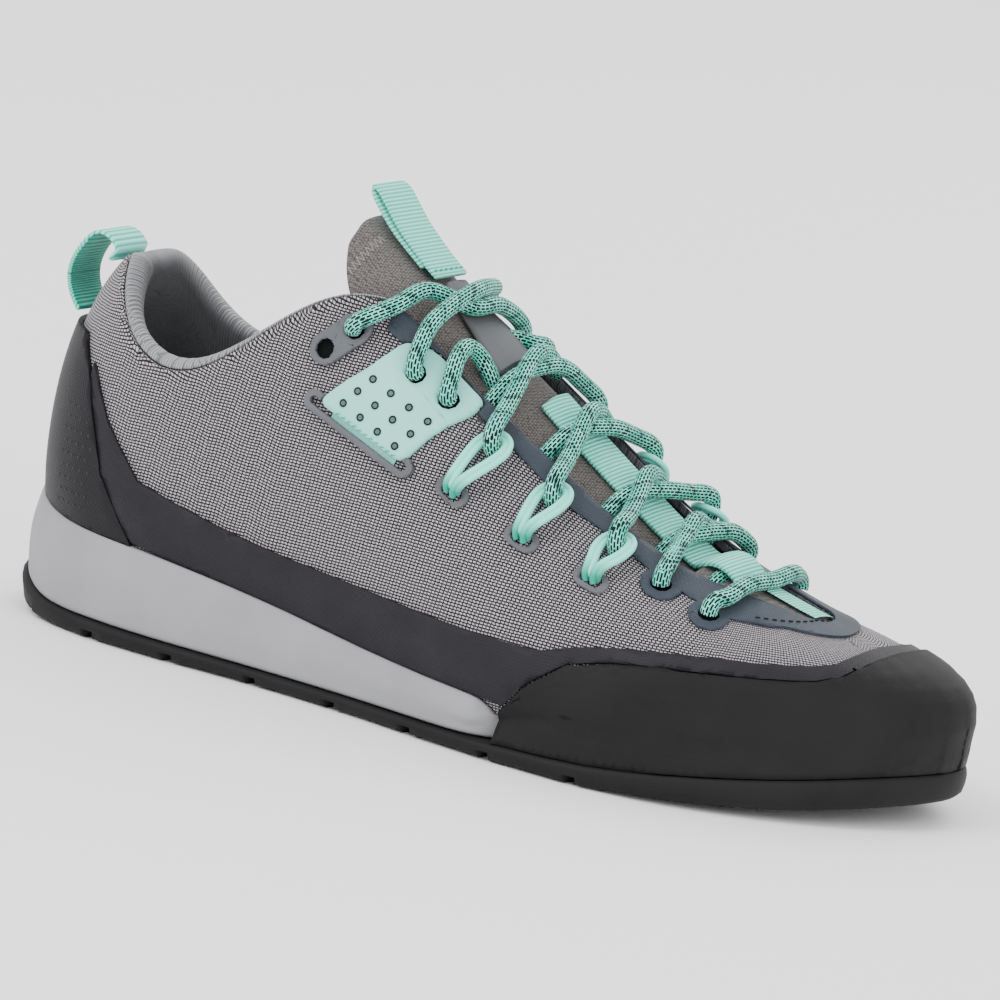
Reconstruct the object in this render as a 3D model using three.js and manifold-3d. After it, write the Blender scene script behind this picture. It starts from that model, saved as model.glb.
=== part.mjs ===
// Approach shoe for the right foot, standing empty on its sole.
// Millimetres, +X to the toe, +Y to the inner side of the foot, +Z up.
// The sections are worked out with the heel at x = 0, and the finished shoe is
// moved so that the origin lies on the ground under the middle of the heel.
import * as THREE from 'three';
import { mergeVertices } from 'three/addons/utils/BufferGeometryUtils.js';
import Module from 'manifold-3d';

const wasm = await Module();
wasm.setup();

// Sizes of the last
const soleLength = 262;
const ballWidth = 93.5;
const heelWidth = 67.5;
const instepHeight = 111;
const toeHeight = 40;
const collarHeight = 94;
const widestHeight = 36;
const heelCentre = soleLength * 34 / 262;
const throatFront = soleLength * 216 / 262;
const midsoleFront = soleLength * 153.5 / 262;
const ridgeShift = 7;

// Sizes of the sole
const outsoleThickness = 4.6;
const toeSpring = 7;
const heelBevel = 6.5;
const lugDepth = 2.4;
const lugWidth = 9;
const grooveWidth = 3.4;
const treadSpine = 7;
const grooveTurn = 0.2;
const rimHeight = 27.5;
const rimWidth = 1.7;
const midsoleCut = 6.5;
const platformHeight = 21.5;
const insoleThickness = 4;

// Walls, films and clearances
const clearance = 0.3;
const upperWall = 2.2;
const upperInset = 2.2;
const featherTuck = 3.6;
const upperSteps = 11;
const randThickness = 2;
const randReach = 24;
const stripWidth = 4;
const bandThickness = 1;
const bandHeight = 75;
const counterThickness = 1.4;
const filmThickness = 0.6;
const panelThickness = 1.1;
const plateThickness = 1.5;
const keeperThickness = 1.3;
const eyestayWidth = 13;
const collarPad = 6;
const collarRise = 3.6;
const collarDepth = 38;
const tonguePad = 4.5;
const tongueWidth = 50;
const tongueOverlap = 6;
const tongueSink = 3;
const tongueDip = 2.5;
const tongueRise = 3;
const tongueEdgeSink = 5;
const throatWidth = 30;
const keeperWidth = 25;

// Laces, webbing and their holes
const laceDiameter = 4.4;
const loopCord = 2.2;
const eyeletHole = 5.4;
const anchorDrop = 10;
const innerAdvance = 1.5;
const lobeRadius = 5.2;
const plateRadius = 4.2;
const slotRadius = 1.1;
const frameRadius = 2.7;
const portLength = 3.4;
const portRadius = 2.9;
const portHole = 1.7;
const portThickness = 0.8;
const eyeRadius = 2.8;
const webbingWidth = 15;
const webbingShift = 4.5;
const joinDepth = 0.35;
const loopLayer = 1.1;
const loopWidth = 16;
const loopRise = 9.8;
const webbingThickness = 1.2;

// Fineness of the faceted surfaces
const heelStations = 11;
const toeStations = 6;
const heelRibs = 9;
const toeRibs = 15;
const curtainReach = 2;
const prismDepth = 8;

// Outline of the tread on the ground, clockwise from the heel as seen from above.
// along is a share of the sole's length, across a share of the local width.
const treadOutline = [
  { along: 0.003, across: 0.007 },
  { along: 0.021, across: -0.207 },
  { along: 0.076, across: -0.397 },
  { along: 0.172, across: -0.496 },
  { along: 0.325, across: -0.492 },
  { along: 0.439, across: -0.470 },
  { along: 0.553, across: -0.479 },
  { along: 0.641, across: -0.490 },
  { along: 0.717, across: -0.492 },
  { along: 0.794, across: -0.449 },
  { along: 0.876, across: -0.332 },
  { along: 0.938, across: -0.185 },
  { along: 0.983, across: -0.005 },
  { along: 0.998, across: 0.125 },
  { along: 0.974, across: 0.300 },
  { along: 0.912, across: 0.440 },
  { along: 0.825, across: 0.500 },
  { along: 0.731, across: 0.495 },
  { along: 0.630, across: 0.424 },
  { along: 0.515, across: 0.384 },
  { along: 0.401, across: 0.405 },
  { along: 0.286, across: 0.455 },
  { along: 0.172, across: 0.489 },
  { along: 0.076, across: 0.400 },
  { along: 0.021, across: 0.215 },
];

// Height of the ridge over the foot: a share of the instep height plus one of
// the toe height. shift moves the ridge to the inner side, a share of ridgeShift.
const ridge = [
  { along: 0.000, instep: 0.923, toe: 0.00, shift: 0.00 },
  { along: 0.090, instep: 0.923, toe: 0.00, shift: 0.00 },
  { along: 0.130, instep: 0.935, toe: 0.00, shift: 0.00 },
  { along: 0.226, instep: 1.035, toe: 0.00, shift: 0.00 },
  { along: 0.300, instep: 1.068, toe: 0.00, shift: 0.00 },
  { along: 0.343, instep: 1.058, toe: 0.00, shift: 0.05 },
  { along: 0.400, instep: 1.003, toe: 0.00, shift: 0.30 },
  { along: 0.450, instep: 0.923, toe: 0.00, shift: 0.55 },
  { along: 0.500, instep: 0.828, toe: 0.00, shift: 0.85 },
  { along: 0.561, instep: 0.637, toe: 0.25, shift: 0.90 },
  { along: 0.633, instep: 0.432, toe: 0.50, shift: 1.00 },
  { along: 0.691, instep: 0.259, toe: 0.75, shift: 0.90 },
  { along: 0.740, instep: 0.153, toe: 0.89, shift: 0.75 },
  { along: 0.783, instep: 0.081, toe: 1.00, shift: 0.62 },
  { along: 0.825, instep: 0.034, toe: 1.05, shift: 0.57 },
  { along: 0.885, instep: 0.000, toe: 1.040, shift: 0.57 },
  { along: 0.946, instep: 0.000, toe: 0.950, shift: 0.57 },
  { along: 1.020, instep: 0.000, toe: 0.840, shift: 0.57 },
];

// Sections of the upper. inset and tuck are shares of upperInset and featherTuck,
// widest is a share of widestHeight, and outer and inner say how full the two
// sides are: 2 is an ellipse, and more is boxier.
const sections = [
  { along: 0.000, inset: 1.70, tuck: 0.60, widest: 1.30, outer: 2.00, inner: 2.00 },
  { along: 0.060, inset: 1.30, tuck: 0.80, widest: 1.20, outer: 2.40, inner: 2.40 },
  { along: 0.130, inset: 1.00, tuck: 1.00, widest: 1.05, outer: 2.90, inner: 2.90 },
  { along: 0.226, inset: 1.00, tuck: 1.00, widest: 0.98, outer: 2.80, inner: 2.80 },
  { along: 0.343, inset: 1.00, tuck: 1.00, widest: 0.88, outer: 2.75, inner: 2.75 },
  { along: 0.400, inset: 1.00, tuck: 1.00, widest: 0.80, outer: 2.65, inner: 2.65 },
  { along: 0.450, inset: 1.00, tuck: 1.00, widest: 0.74, outer: 2.40, inner: 2.45 },
  { along: 0.500, inset: 1.00, tuck: 1.00, widest: 0.68, outer: 2.10, inner: 2.20 },
  { along: 0.561, inset: 1.00, tuck: 1.00, widest: 0.62, outer: 1.88, inner: 2.05 },
  { along: 0.633, inset: 1.15, tuck: 1.00, widest: 0.54, outer: 1.80, inner: 1.98 },
  { along: 0.691, inset: 1.30, tuck: 1.00, widest: 0.50, outer: 1.88, inner: 2.00 },
  { along: 0.740, inset: 1.35, tuck: 1.00, widest: 0.48, outer: 2.00, inner: 2.00 },
  { along: 0.825, inset: 1.35, tuck: 1.00, widest: 0.50, outer: 2.30, inner: 2.00 },
  { along: 0.885, inset: 1.30, tuck: 0.95, widest: 0.54, outer: 2.80, inner: 2.25 },
  { along: 0.946, inset: 1.15, tuck: 0.85, widest: 0.58, outer: 3.60, inner: 3.00 },
  { along: 1.000, inset: 1.00, tuck: 0.80, widest: 0.62, outer: 4.20, inner: 4.20 },
];

// Top line of the upper from the heel to the throat, as shares of collarHeight.
// pad is the thickness of the collar's padding, a share of collarPad.
const collarLine = [
  { along: 0.000, height: 0.984, pad: 0.90 },
  { along: 0.010, height: 0.992, pad: 0.92 },
  { along: 0.028, height: 1.003, pad: 0.95 },
  { along: 0.055, height: 0.998, pad: 1.00 },
  { along: 0.091, height: 0.936, pad: 1.05 },
  { along: 0.130, height: 0.823, pad: 1.05 },
  { along: 0.160, height: 0.770, pad: 1.00 },
  { along: 0.187, height: 0.755, pad: 0.92 },
  { along: 0.214, height: 0.772, pad: 0.80 },
  { along: 0.237, height: 0.812, pad: 0.65 },
  { along: 0.260, height: 0.868, pad: 0.50 },
  { along: 0.309, height: 1.003, pad: 0.32 },
  { along: 0.355, height: 1.078, pad: 0.26 },
  { along: 0.400, height: 1.100, pad: 0.22 },
];

// Distance from the ridge to the throat's edges, over the surface, in shares of
// throatWidth
const throatLine = [
  { along: 0.400, outer: 0.860, inner: 0.760 },
  { along: 0.450, outer: 0.880, inner: 0.640 },
  { along: 0.500, outer: 0.870, inner: 0.430 },
  { along: 0.561, outer: 0.790, inner: 0.360 },
  { along: 0.633, outer: 0.740, inner: 0.270 },
  { along: 0.691, outer: 0.670, inner: 0.260 },
  { along: 0.740, outer: 0.570, inner: 0.260 },
  { along: 0.783, outer: 0.430, inner: 0.250 },
  { along: 0.825, outer: 0.250, inner: 0.250 },
];

// Side heights of the sole along the foot. bevel and spring are shares of
// heelBevel and toeSpring, tread a share of outsoleThickness over the ground,
// rim a share of rimHeight and platform a share of platformHeight.
const soleLine = [
  { along: 0.000, bevel: 1.00, spring: 0.00, tread: 1.35, rim: 1.180, platform: 1.000 },
  { along: 0.020, bevel: 0.50, spring: 0.00, tread: 1.45, rim: 1.120, platform: 1.000 },
  { along: 0.045, bevel: 0.16, spring: 0.00, tread: 1.30, rim: 1.060, platform: 1.000 },
  { along: 0.080, bevel: 0.00, spring: 0.00, tread: 1.15, rim: 1.010, platform: 1.000 },
  { along: 0.210, bevel: 0.00, spring: 0.00, tread: 1.00, rim: 0.930, platform: 0.940 },
  { along: 0.340, bevel: 0.00, spring: 0.00, tread: 0.90, rim: 0.770, platform: 0.780 },
  { along: 0.455, bevel: 0.00, spring: 0.00, tread: 0.90, rim: 0.620, platform: 0.600 },
  { along: 0.603, bevel: 0.00, spring: 0.00, tread: 0.98, rim: 0.530, platform: 0.490 },
  { along: 0.708, bevel: 0.00, spring: 0.00, tread: 1.20, rim: 0.530, platform: 0.470 },
  { along: 0.783, bevel: 0.00, spring: 0.09, tread: 1.45, rim: 0.530, platform: 0.490 },
  { along: 0.885, bevel: 0.00, spring: 0.36, tread: 1.75, rim: 0.600, platform: 0.580 },
  { along: 0.954, bevel: 0.00, spring: 0.70, tread: 1.80, rim: 0.700, platform: 0.690 },
  { along: 1.010, bevel: 0.00, spring: 1.00, tread: 1.65, rim: 0.800, platform: 0.790 },
];

// Upper edge of the toe rand, measured over the upper from the sole, as shares
// of randReach
const randLine = [
  { along: 0.590, reach: 0.02 },
  { along: 0.611, reach: 0.12 },
  { along: 0.626, reach: 0.26 },
  { along: 0.649, reach: 0.57 },
  { along: 0.676, reach: 0.77 },
  { along: 0.721, reach: 0.89 },
  { along: 0.805, reach: 0.97 },
  { along: 0.863, reach: 0.95 },
  { along: 0.916, reach: 0.96 },
  { along: 0.954, reach: 1.15 },
  { along: 1.000, reach: 1.42 },
];

// Upper edge of the dark film on the sides, and of the heel counter within it,
// as shares of bandHeight
const bandLine = [
  { along: 0.000, height: 1.000 },
  { along: 0.046, height: 1.000 },
  { along: 0.065, height: 0.990 },
  { along: 0.092, height: 0.920 },
  { along: 0.115, height: 0.815 },
  { along: 0.145, height: 0.660 },
  { along: 0.164, height: 0.592 },
  { along: 0.195, height: 0.558 },
  { along: 0.240, height: 0.520 },
  { along: 0.320, height: 0.467 },
  { along: 0.420, height: 0.433 },
  { along: 0.530, height: 0.405 },
  { along: 0.626, height: 0.393 },
];
const counterLine = [
  { along: 0.076, height: 1.000 },
  { along: 0.091, height: 0.890 },
  { along: 0.107, height: 0.720 },
  { along: 0.130, height: 0.565 },
  { along: 0.153, height: 0.440 },
  { along: 0.176, height: 0.345 },
];

// Width of the eyestay below the throat's edge, as shares of eyestayWidth
const eyestayLine = [
  { along: 0.400, width: 0.60 },
  { along: 0.500, width: 0.35 },
  { along: 0.550, width: 0.42 },
  { along: 0.620, width: 0.54 },
  { along: 0.655, width: 0.40 },
  { along: 0.690, width: 0.54 },
  { along: 0.740, width: 0.66 },
  { along: 0.780, width: 0.95 },
  { along: 0.810, width: 1.02 },
  { along: 0.850, width: 0.70 },
  { along: 1.010, width: 0.50 },
];

// Anchors of the lace from the toe upwards, the same on both sides. drop is the
// distance below the throat's edge, a share of anchorDrop.
const anchors = [
  { along: 0.774, drop: 1.34, kind: 'lobe' },
  { along: 0.720, drop: 0.96, kind: 'lobe' },
  { along: 0.671, drop: 0.89, kind: 'loop' },
  { along: 0.601, drop: 0.92, kind: 'loop' },
  { along: 0.534, drop: 0.98, kind: 'loop' },
  { along: 0.478, drop: 0.78, kind: 'panel' },
  { along: 0.443, drop: 1.00, kind: 'panel' },
  { along: 0.375, drop: 1.05, kind: 'plate' },
];

// Ports from which the cord loops come, in the same shares, for the anchors that
// have a loop
const ports = [
  { along: 0.664, drop: 1.95 },
  { along: 0.589, drop: 2.24 },
  { along: 0.511, drop: 2.51 },
];

// Corners of the panel on each side, in the same shares
const panelOutline = [
  { along: 0.357, drop: 2.90 },
  { along: 0.407, drop: 1.54 },
  { along: 0.426, drop: 0.56 },
  { along: 0.450, drop: 0.16 },
  { along: 0.506, drop: 0.08 },
  { along: 0.502, drop: 0.60 },
  { along: 0.483, drop: 1.45 },
  { along: 0.455, drop: 3.08 },
];

// Ends of the slot under the panel and of the top eyelet plate
const slotEnds = [
  { along: 0.352, drop: 2.79 },
  { along: 0.458, drop: 3.07 },
];
const plateEnds = [
  { along: 0.351, drop: 1.48 },
  { along: 0.375, drop: 1.05 },
];

// Half widths of the tongue's free end, in shares of tongueWidth
const tongueLine = [
  { along: 0.330, outer: 0.44, inner: 0.38 },
  { along: 0.343, outer: 0.60, inner: 0.49 },
  { along: 0.358, outer: 0.69, inner: 0.54 },
  { along: 0.400, outer: 0.62, inner: 0.54 },
];

// How far the webbing on the tongue is raised, in shares of one lace
const webbingLine = [
  { along: 0.538, rise: 0.00 },
  { along: 0.715, rise: 0.00 },
  { along: 0.725, rise: 0.05 },
  { along: 0.742, rise: 1.00 },
  { along: 0.766, rise: 1.00 },
  { along: 0.784, rise: 0.05 },
];

// Line of the tongue's pull loop from its lower layer round the fold to its upper
// layer, which reaches further down. rise is in shares of loopRise.
const loopLine = [
  { along: 0.397, layer: 0, rise: 0.00 },
  { along: 0.382, layer: 0, rise: 0.06 },
  { along: 0.363, layer: 0, rise: 0.20 },
  { along: 0.347, layer: 0, rise: 0.45 },
  { along: 0.336, layer: 0, rise: 0.71 },
  { along: 0.3305, layer: 0, rise: 0.94 },
  { along: 0.335, layer: 0, rise: 1.00 },
  { along: 0.349, layer: 0, rise: 0.73 },
  { along: 0.366, layer: 1, rise: 0.265 },
  { along: 0.385, layer: 1, rise: 0.08 },
  { along: 0.397, layer: 1, rise: 0.00 },
  { along: 0.414, layer: 1, rise: 0.00 },
];

// How far the middle of the throat lies below the upper's line, in shares of tongueDip
const dipLine = [
  { along: 0.345, dip: 0.00 },
  { along: 0.400, dip: 0.55 },
  { along: 0.430, dip: 1.00 },
  { along: 0.460, dip: 1.00 },
  { along: 0.535, dip: 0.00 },
];

// Edges of the lace keeper on the tongue, in shares of keeperWidth
const keeperLine = [
  { along: 0.416, outer: 0.32, inner: 0.18 },
  { along: 0.440, outer: 0.42, inner: 0.26 },
  { along: 0.470, outer: 0.60, inner: 0.28 },
  { along: 0.496, outer: 0.67, inner: 0.26 },
];

function readTable(table, along, column) {
  // a smooth curve through the rows of one column
  const last = table.length - 1;
  if (along <= table[0].along) return table[0][column];
  if (along >= table[last].along) return table[last][column];
  let i = 0;
  while (table[i + 1].along < along) i += 1;
  const slope = (k) => {
    const a = table[Math.max(0, k - 1)];
    const b = table[Math.min(last, k + 1)];
    return (b[column] - a[column]) / (b.along - a.along);
  };
  const width = table[i + 1].along - table[i].along;
  const t = (along - table[i].along) / width;
  const t2 = t * t;
  const t3 = t2 * t;
  return (2 * t3 - 3 * t2 + 1) * table[i][column]
    + (t3 - 2 * t2 + t) * width * slope(i)
    + (3 * t2 - 2 * t3) * table[i + 1][column]
    + (t3 - t2) * width * slope(i + 1);
}

const smooth = (value, low, high) => THREE.MathUtils.smoothstep(value, low, high);
const mix = THREE.MathUtils.lerp;

// Heights that follow the place along the foot
const share = (x) => x / soleLength;
const ridgeHeight = (x) => instepHeight * readTable(ridge, share(x), 'instep')
  + toeHeight * readTable(ridge, share(x), 'toe');
const ridgeAcross = (x) => ridgeShift * readTable(ridge, share(x), 'shift');
const groundHeight = (x) => heelBevel * Math.max(0, readTable(soleLine, share(x), 'bevel'))
  + toeSpring * Math.max(0, readTable(soleLine, share(x), 'spring'));
const treadTop = (x) => groundHeight(x) + outsoleThickness * readTable(soleLine, share(x), 'tread');
const rimTop = (x) => rimHeight * readTable(soleLine, share(x), 'rim');
const platformTop = (x) => platformHeight * readTable(soleLine, share(x), 'platform');

// Plan outline of the tread as a closed line of short steps
const localWidth = (along) => mix(heelWidth, ballWidth, smooth(along, 0.25, 0.65));
const outlineCurve = new THREE.CatmullRomCurve3(
  treadOutline.map((row) => new THREE.Vector3(
    row.along * soleLength, row.across * localWidth(row.along), 0)),
  true, 'centripetal');
const outlinePoints = outlineCurve.getPoints(480);

function meetOutline(origin, direction) {
  // distance from the origin to the outline, and how obliquely it is met
  let best = null;
  for (let i = 0; i < outlinePoints.length - 1; i += 1) {
    const a = outlinePoints[i];
    const edge = outlinePoints[i + 1].clone().sub(a);
    const cross = direction.x * edge.y - direction.y * edge.x;
    if (Math.abs(cross) < 1e-9) continue;
    const toA = a.clone().sub(origin);
    const reach = (toA.x * edge.y - toA.y * edge.x) / cross;
    const place = (toA.x * direction.y - toA.y * direction.x) / cross;
    if (reach > 0 && place >= 0 && place <= 1 && (!best || reach > best.reach)) {
      best = { reach, oblique: edge.length() / Math.abs(cross) };
    }
  }
  return best;
}

// A rib is one vertical section of the upper from the ridge out to the sole
const tuckSteps = 8;
const sideSteps = 60;
const gridReach = 40;

function makeRib(apexX, angle) {
  const apex = new THREE.Vector3(apexX, ridgeAcross(apexX), 0);
  const direction = new THREE.Vector3(Math.cos(angle), Math.sin(angle), 0);
  const met = meetOutline(apex, direction);
  const base = apex.clone().addScaledVector(direction, met.reach);
  const along = share(base.x);
  const side = Math.sin(angle) < 0 ? 'outer' : 'inner';
  const rib = { apex, direction, base, along, side, reach: met.reach, oblique: met.oblique };
  const row = (column) => readTable(sections, along, column);
  rib.widestInset = upperInset * row('inset');
  rib.featherInset = rib.widestInset + featherTuck * row('tuck');
  const featherX = base.x - direction.x * rib.featherInset * met.oblique;
  rib.featherZ = platformTop(featherX) + clearance;
  const widestZ = widestHeight * row('widest');
  const widestReach = rib.reach - rib.widestInset * rib.oblique;
  const fullness = row(side);
  rib.points = [];
  for (let i = 0; i < tuckSteps; i += 1) {
    const down = 1 - i / tuckSteps;
    const inset = (rib.featherInset - rib.widestInset) * down * down * rib.oblique;
    rib.points.push({ reach: widestReach - inset, z: mix(widestZ, rib.featherZ, down) });
  }
  for (let i = 0; i <= sideSteps; i += 1) {
    const turn = (i / sideSteps) * Math.PI / 2;
    const reach = widestReach * Math.cos(turn) ** (2 / fullness);
    const x = apex.x + direction.x * reach;
    const rise = Math.sin(turn) ** (2 / fullness);
    rib.points.push({ reach, z: mix(widestZ, ridgeHeight(x), rise) });
  }
  rib.points[rib.points.length - 1].reach = 0;
  let length = 0;
  let measure = 0;
  let heading = null;
  rib.points.forEach((point, i) => {
    if (i > 0) {
      const before = rib.points[i - 1];
      const step = new THREE.Vector2(point.reach - before.reach, point.z - before.z);
      const turned = heading ? Math.abs(Math.atan2(heading.cross(step), heading.dot(step))) : 0;
      length += step.length();
      measure += step.length() / gridReach + turned;
      if (step.length() > 1e-6) heading = step;
    }
    point.length = length;
    point.measure = measure;
  });
  rib.length = length;
  return rib;
}

function convert(rib, value, from, to) {
  // length along a rib into measure, which also counts how much it has turned
  const points = rib.points;
  let i = 1;
  while (i < points.length - 1 && points[i][from] < value) i += 1;
  const span = points[i][from] - points[i - 1][from];
  const t = THREE.MathUtils.clamp((value - points[i - 1][from]) / span, 0, 1);
  return mix(points[i - 1][to], points[i][to], t);
}

function places(rib, low, high, steps) {
  // lengths between two limits, closer together where the surface turns
  const start = convert(rib, low, 'length', 'measure');
  const end = convert(rib, high, 'length', 'measure');
  const list = [];
  for (let i = 0; i <= steps; i += 1) {
    list.push(convert(rib, mix(start, end, i / steps), 'measure', 'length'));
  }
  list[0] = low;
  list[steps] = high;
  return list;
}

function ribSpan(rib, length) {
  const points = rib.points;
  let i = 1;
  while (i < points.length - 1 && points[i].length < length) i += 1;
  const a = points[i - 1];
  const b = points[i];
  const t = (length - a.length) / (b.length - a.length);
  return { reach: mix(a.reach, b.reach, t), z: mix(a.z, b.z, t) };
}

function ribPoint(rib, length, offset = 0) {
  // a point on the upper's outside, moved out along the surface's normal
  const here = ribSpan(rib, length);
  const before = ribSpan(rib, Math.max(0, length - 1.5));
  const after = ribSpan(rib, Math.min(rib.length, length + 1.5));
  const rise = after.z - before.z;
  const run = after.reach - before.reach;
  const size = Math.hypot(rise, run) || 1;
  const reach = here.reach + (rise / size) * offset * rib.oblique;
  const point = rib.apex.clone().addScaledVector(rib.direction, reach);
  point.z = here.z - (run / size) * offset;
  return point;
}

function lengthAtHeight(rib, z) {
  const points = rib.points;
  if (z <= points[0].z) return 0;
  for (let i = 1; i < points.length; i += 1) {
    if (points[i].z >= z) {
      const t = (z - points[i - 1].z) / (points[i].z - points[i - 1].z);
      return mix(points[i - 1].length, points[i].length, t);
    }
  }
  return rib.length;
}

function insetPoint(rib, inset, z) {
  // a point inside the tread's outline, by its distance from the outline
  const reach = Math.max(0, rib.reach - inset * rib.oblique);
  const point = rib.apex.clone().addScaledVector(rib.direction, reach);
  point.z = typeof z === 'function' ? z(point.x) : z;
  return point;
}

function topEdge(rib) {
  // length along the rib at which the upper ends, at the collar or the throat
  const throatTop = throatLine[0].along;
  const station = share(rib.apex.x);
  if (rib.along < throatTop) {
    return lengthAtHeight(rib, collarHeight * readTable(collarLine, rib.along, 'height'));
  }
  return rib.length - throatWidth * readTable(throatLine, station, rib.side);
}

// Ribs in order: up the outer side from the heel, round the toe, back down the
// inner side and round the heel
const spread = (from, to, count) => Array.from(
  { length: count }, (unused, i) => mix(from, to, i / (count - 1)));
const stations = [
  ...spread(heelCentre, midsoleFront, heelStations),
  midsoleFront + midsoleCut,
  midsoleFront + midsoleCut + 2 * clearance,
  ...spread(midsoleFront + 2.2 * midsoleCut, throatFront, toeStations),
];
const outerRibs = stations.map((x) => makeRib(x, -Math.PI / 2));
const innerRibs = stations.map((x) => makeRib(x, Math.PI / 2)).reverse();
const toeFan = [];
for (let i = 1; i <= toeRibs; i += 1) {
  toeFan.push(makeRib(throatFront, -Math.PI / 2 + Math.PI * i / (toeRibs + 1)));
}
const heelFan = [];
for (let i = 1; i <= heelRibs; i += 1) {
  heelFan.push(makeRib(heelCentre, Math.PI / 2 + Math.PI * i / (heelRibs + 1)));
}
const ribs = [...outerRibs, ...toeFan, ...innerRibs, ...heelFan];
ribs.forEach((rib) => {
  rib.edge = topEdge(rib);
  rib.grid = places(rib, 0, rib.edge, upperSteps);
});

function facetPoint(rib, length, offset) {
  // a point over the upper's own facets, which lie between the lengths of its grid
  const grid = rib.grid;
  if (length >= rib.edge) return ribPoint(rib, length, offset);
  let i = 1;
  while (i < grid.length - 1 && grid[i] < length) i += 1;
  const t = (length - grid[i - 1]) / (grid[i] - grid[i - 1]);
  return ribPoint(rib, grid[i - 1], offset).lerp(ribPoint(rib, grid[i], offset), t);
}

// Builders of closed meshes
const toVertices = (points) => points.flatMap((p) => [p.x, p.y, p.z]);

function indexedGeometry(points, triangles) {
  let geometry = new THREE.BufferGeometry();
  geometry.setAttribute('position', new THREE.Float32BufferAttribute(toVertices(points), 3));
  geometry.setIndex(triangles.flat());
  geometry = mergeVertices(geometry, 1e-3);
  const index = Array.from(geometry.index.array);
  const kept = [];
  for (let i = 0; i < index.length; i += 3) {
    const [a, b, c] = index.slice(i, i + 3);
    if (a !== b && b !== c && c !== a) kept.push(a, b, c);
  }
  geometry.setIndex(kept);
  geometry.computeVertexNormals();
  return geometry;
}

function loft(rows, { ring = false, closedRows = true, mirrorFrom = Infinity } = {}) {
  // joins rows of points, each row a section with the same number of points. From
  // mirrorFrom on, where a section turns back, the facets are split the other way.
  const count = rows[0].length;
  const triangles = [];
  const steps = ring ? rows.length : rows.length - 1;
  const across = closedRows ? count : count - 1;
  for (let i = 0; i < steps; i += 1) {
    const here = i * count;
    const next = ((i + 1) % rows.length) * count;
    for (let j = 0; j < across; j += 1) {
      const k = (j + 1) % count;
      if (j < mirrorFrom) {
        triangles.push([here + j, next + j, next + k], [here + j, next + k, here + k]);
      } else {
        triangles.push([here + j, next + j, here + k], [next + j, next + k, here + k]);
      }
    }
  }
  const points = rows.flat();
  if (!ring) {
    triangles.push(...capTriangles(rows[0], 0));
    triangles.push(...capTriangles(rows[rows.length - 1], points.length - count)
      .map((t) => t.slice().reverse()));
  }
  return indexedGeometry(points, triangles);
}

function capTriangles(row, start) {
  // flat cover of one end section, drawn in the plane that it fits best
  const normal = new THREE.Vector3();
  row.forEach((p, i) => {
    normal.add(p.clone().cross(row[(i + 1) % row.length]));
  });
  normal.normalize();
  const u = new THREE.Vector3(0, 0, 1);
  if (Math.abs(normal.z) > 0.8) u.set(1, 0, 0);
  u.cross(normal).normalize();
  const v = normal.clone().cross(u);
  const flat = row.map((p) => new THREE.Vector2(p.dot(u), p.dot(v)));
  return THREE.ShapeUtils.triangulateShape(flat, [])
    .map((t) => t.map((i) => i + start));
}

function toSolid(geometry) {
  const plain = new THREE.BufferGeometry();
  plain.setAttribute('position', geometry.attributes.position.clone());
  plain.setIndex(geometry.index);
  const merged = mergeVertices(plain, 1e-4);
  return new wasm.Manifold(new wasm.Mesh({
    numProp: 3,
    vertProperties: merged.attributes.position.array,
    triVerts: Uint32Array.from(merged.index.array),
  }));
}

function fromSolid(solid) {
  const mesh = solid.getMesh();
  const points = [];
  for (let i = 0; i < mesh.vertProperties.length; i += 3) {
    points.push(new THREE.Vector3(...mesh.vertProperties.slice(i, i + 3)));
  }
  const triangles = [];
  for (let i = 0; i < mesh.triVerts.length; i += 3) {
    triangles.push(Array.from(mesh.triVerts.slice(i, i + 3)));
  }
  return indexedGeometry(points, triangles);
}

const shoe = new THREE.Group();
shoe.position.x = -heelCentre;

function addPiece(name, geometry, finish) {
  const mesh = new THREE.Mesh(geometry, finish);
  mesh.name = name;
  shoe.add(mesh);
}

function finish(color, roughness) {
  return new THREE.MeshStandardMaterial({ color, roughness, metalness: 0 });
}
const knit = finish('#8b878b', 0.9);
const darkFilm = finish('#3b3a3f', 0.7);
const rubber = finish('#323233', 0.75);
const foam = finish('#a9a9ac', 0.8);

// Strips of ribs that run round the toe or round the heel
const toeStrip = (fromX) => [
  ...outerRibs.filter((rib) => rib.apex.x > fromX),
  ...toeFan,
  ...innerRibs.filter((rib) => rib.apex.x > fromX),
];
const heelStrip = (toX) => [
  ...innerRibs.filter((rib) => rib.apex.x < toX),
  ...heelFan,
  ...outerRibs.filter((rib) => rib.apex.x < toX),
];

// A covering lies on the upper between two lengths of each rib
function coverSection(rib, low, high, steps, inside, outside) {
  const lengths = places(rib, low, high, steps);
  const outer = lengths.map((length) => facetPoint(rib, length, outside));
  const inner = lengths.map((length) => facetPoint(rib, length, inside));
  return [...outer, ...inner.reverse()];
}

// Knitted upper: one open shell. Every covering is cut from a shell over the
// same facets, or is cut back to them, so that the gap between them stays even.
function shell(inside, outside) {
  const rows = ribs.map((rib) => coverSection(rib, 0, rib.edge, upperSteps, inside, outside));
  return loft(rows, { ring: true, mirrorFrom: upperSteps + 1 });
}
addPiece('upper', shell(-upperWall, 0), knit);

const keepClear = toSolid(shell(-upperWall, clearance));

function covering(rows, thickness, closed = false) {
  // the part of a shell over the upper that lies inside a curtain of sections
  const curtain = toSolid(loft(rows, { ring: closed }));
  return toSolid(shell(clearance, clearance + thickness)).intersect(curtain);
}

const curtainSection = (rib, low, high, steps) => coverSection(
  rib, low, high, steps, 0, curtainReach);

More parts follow.
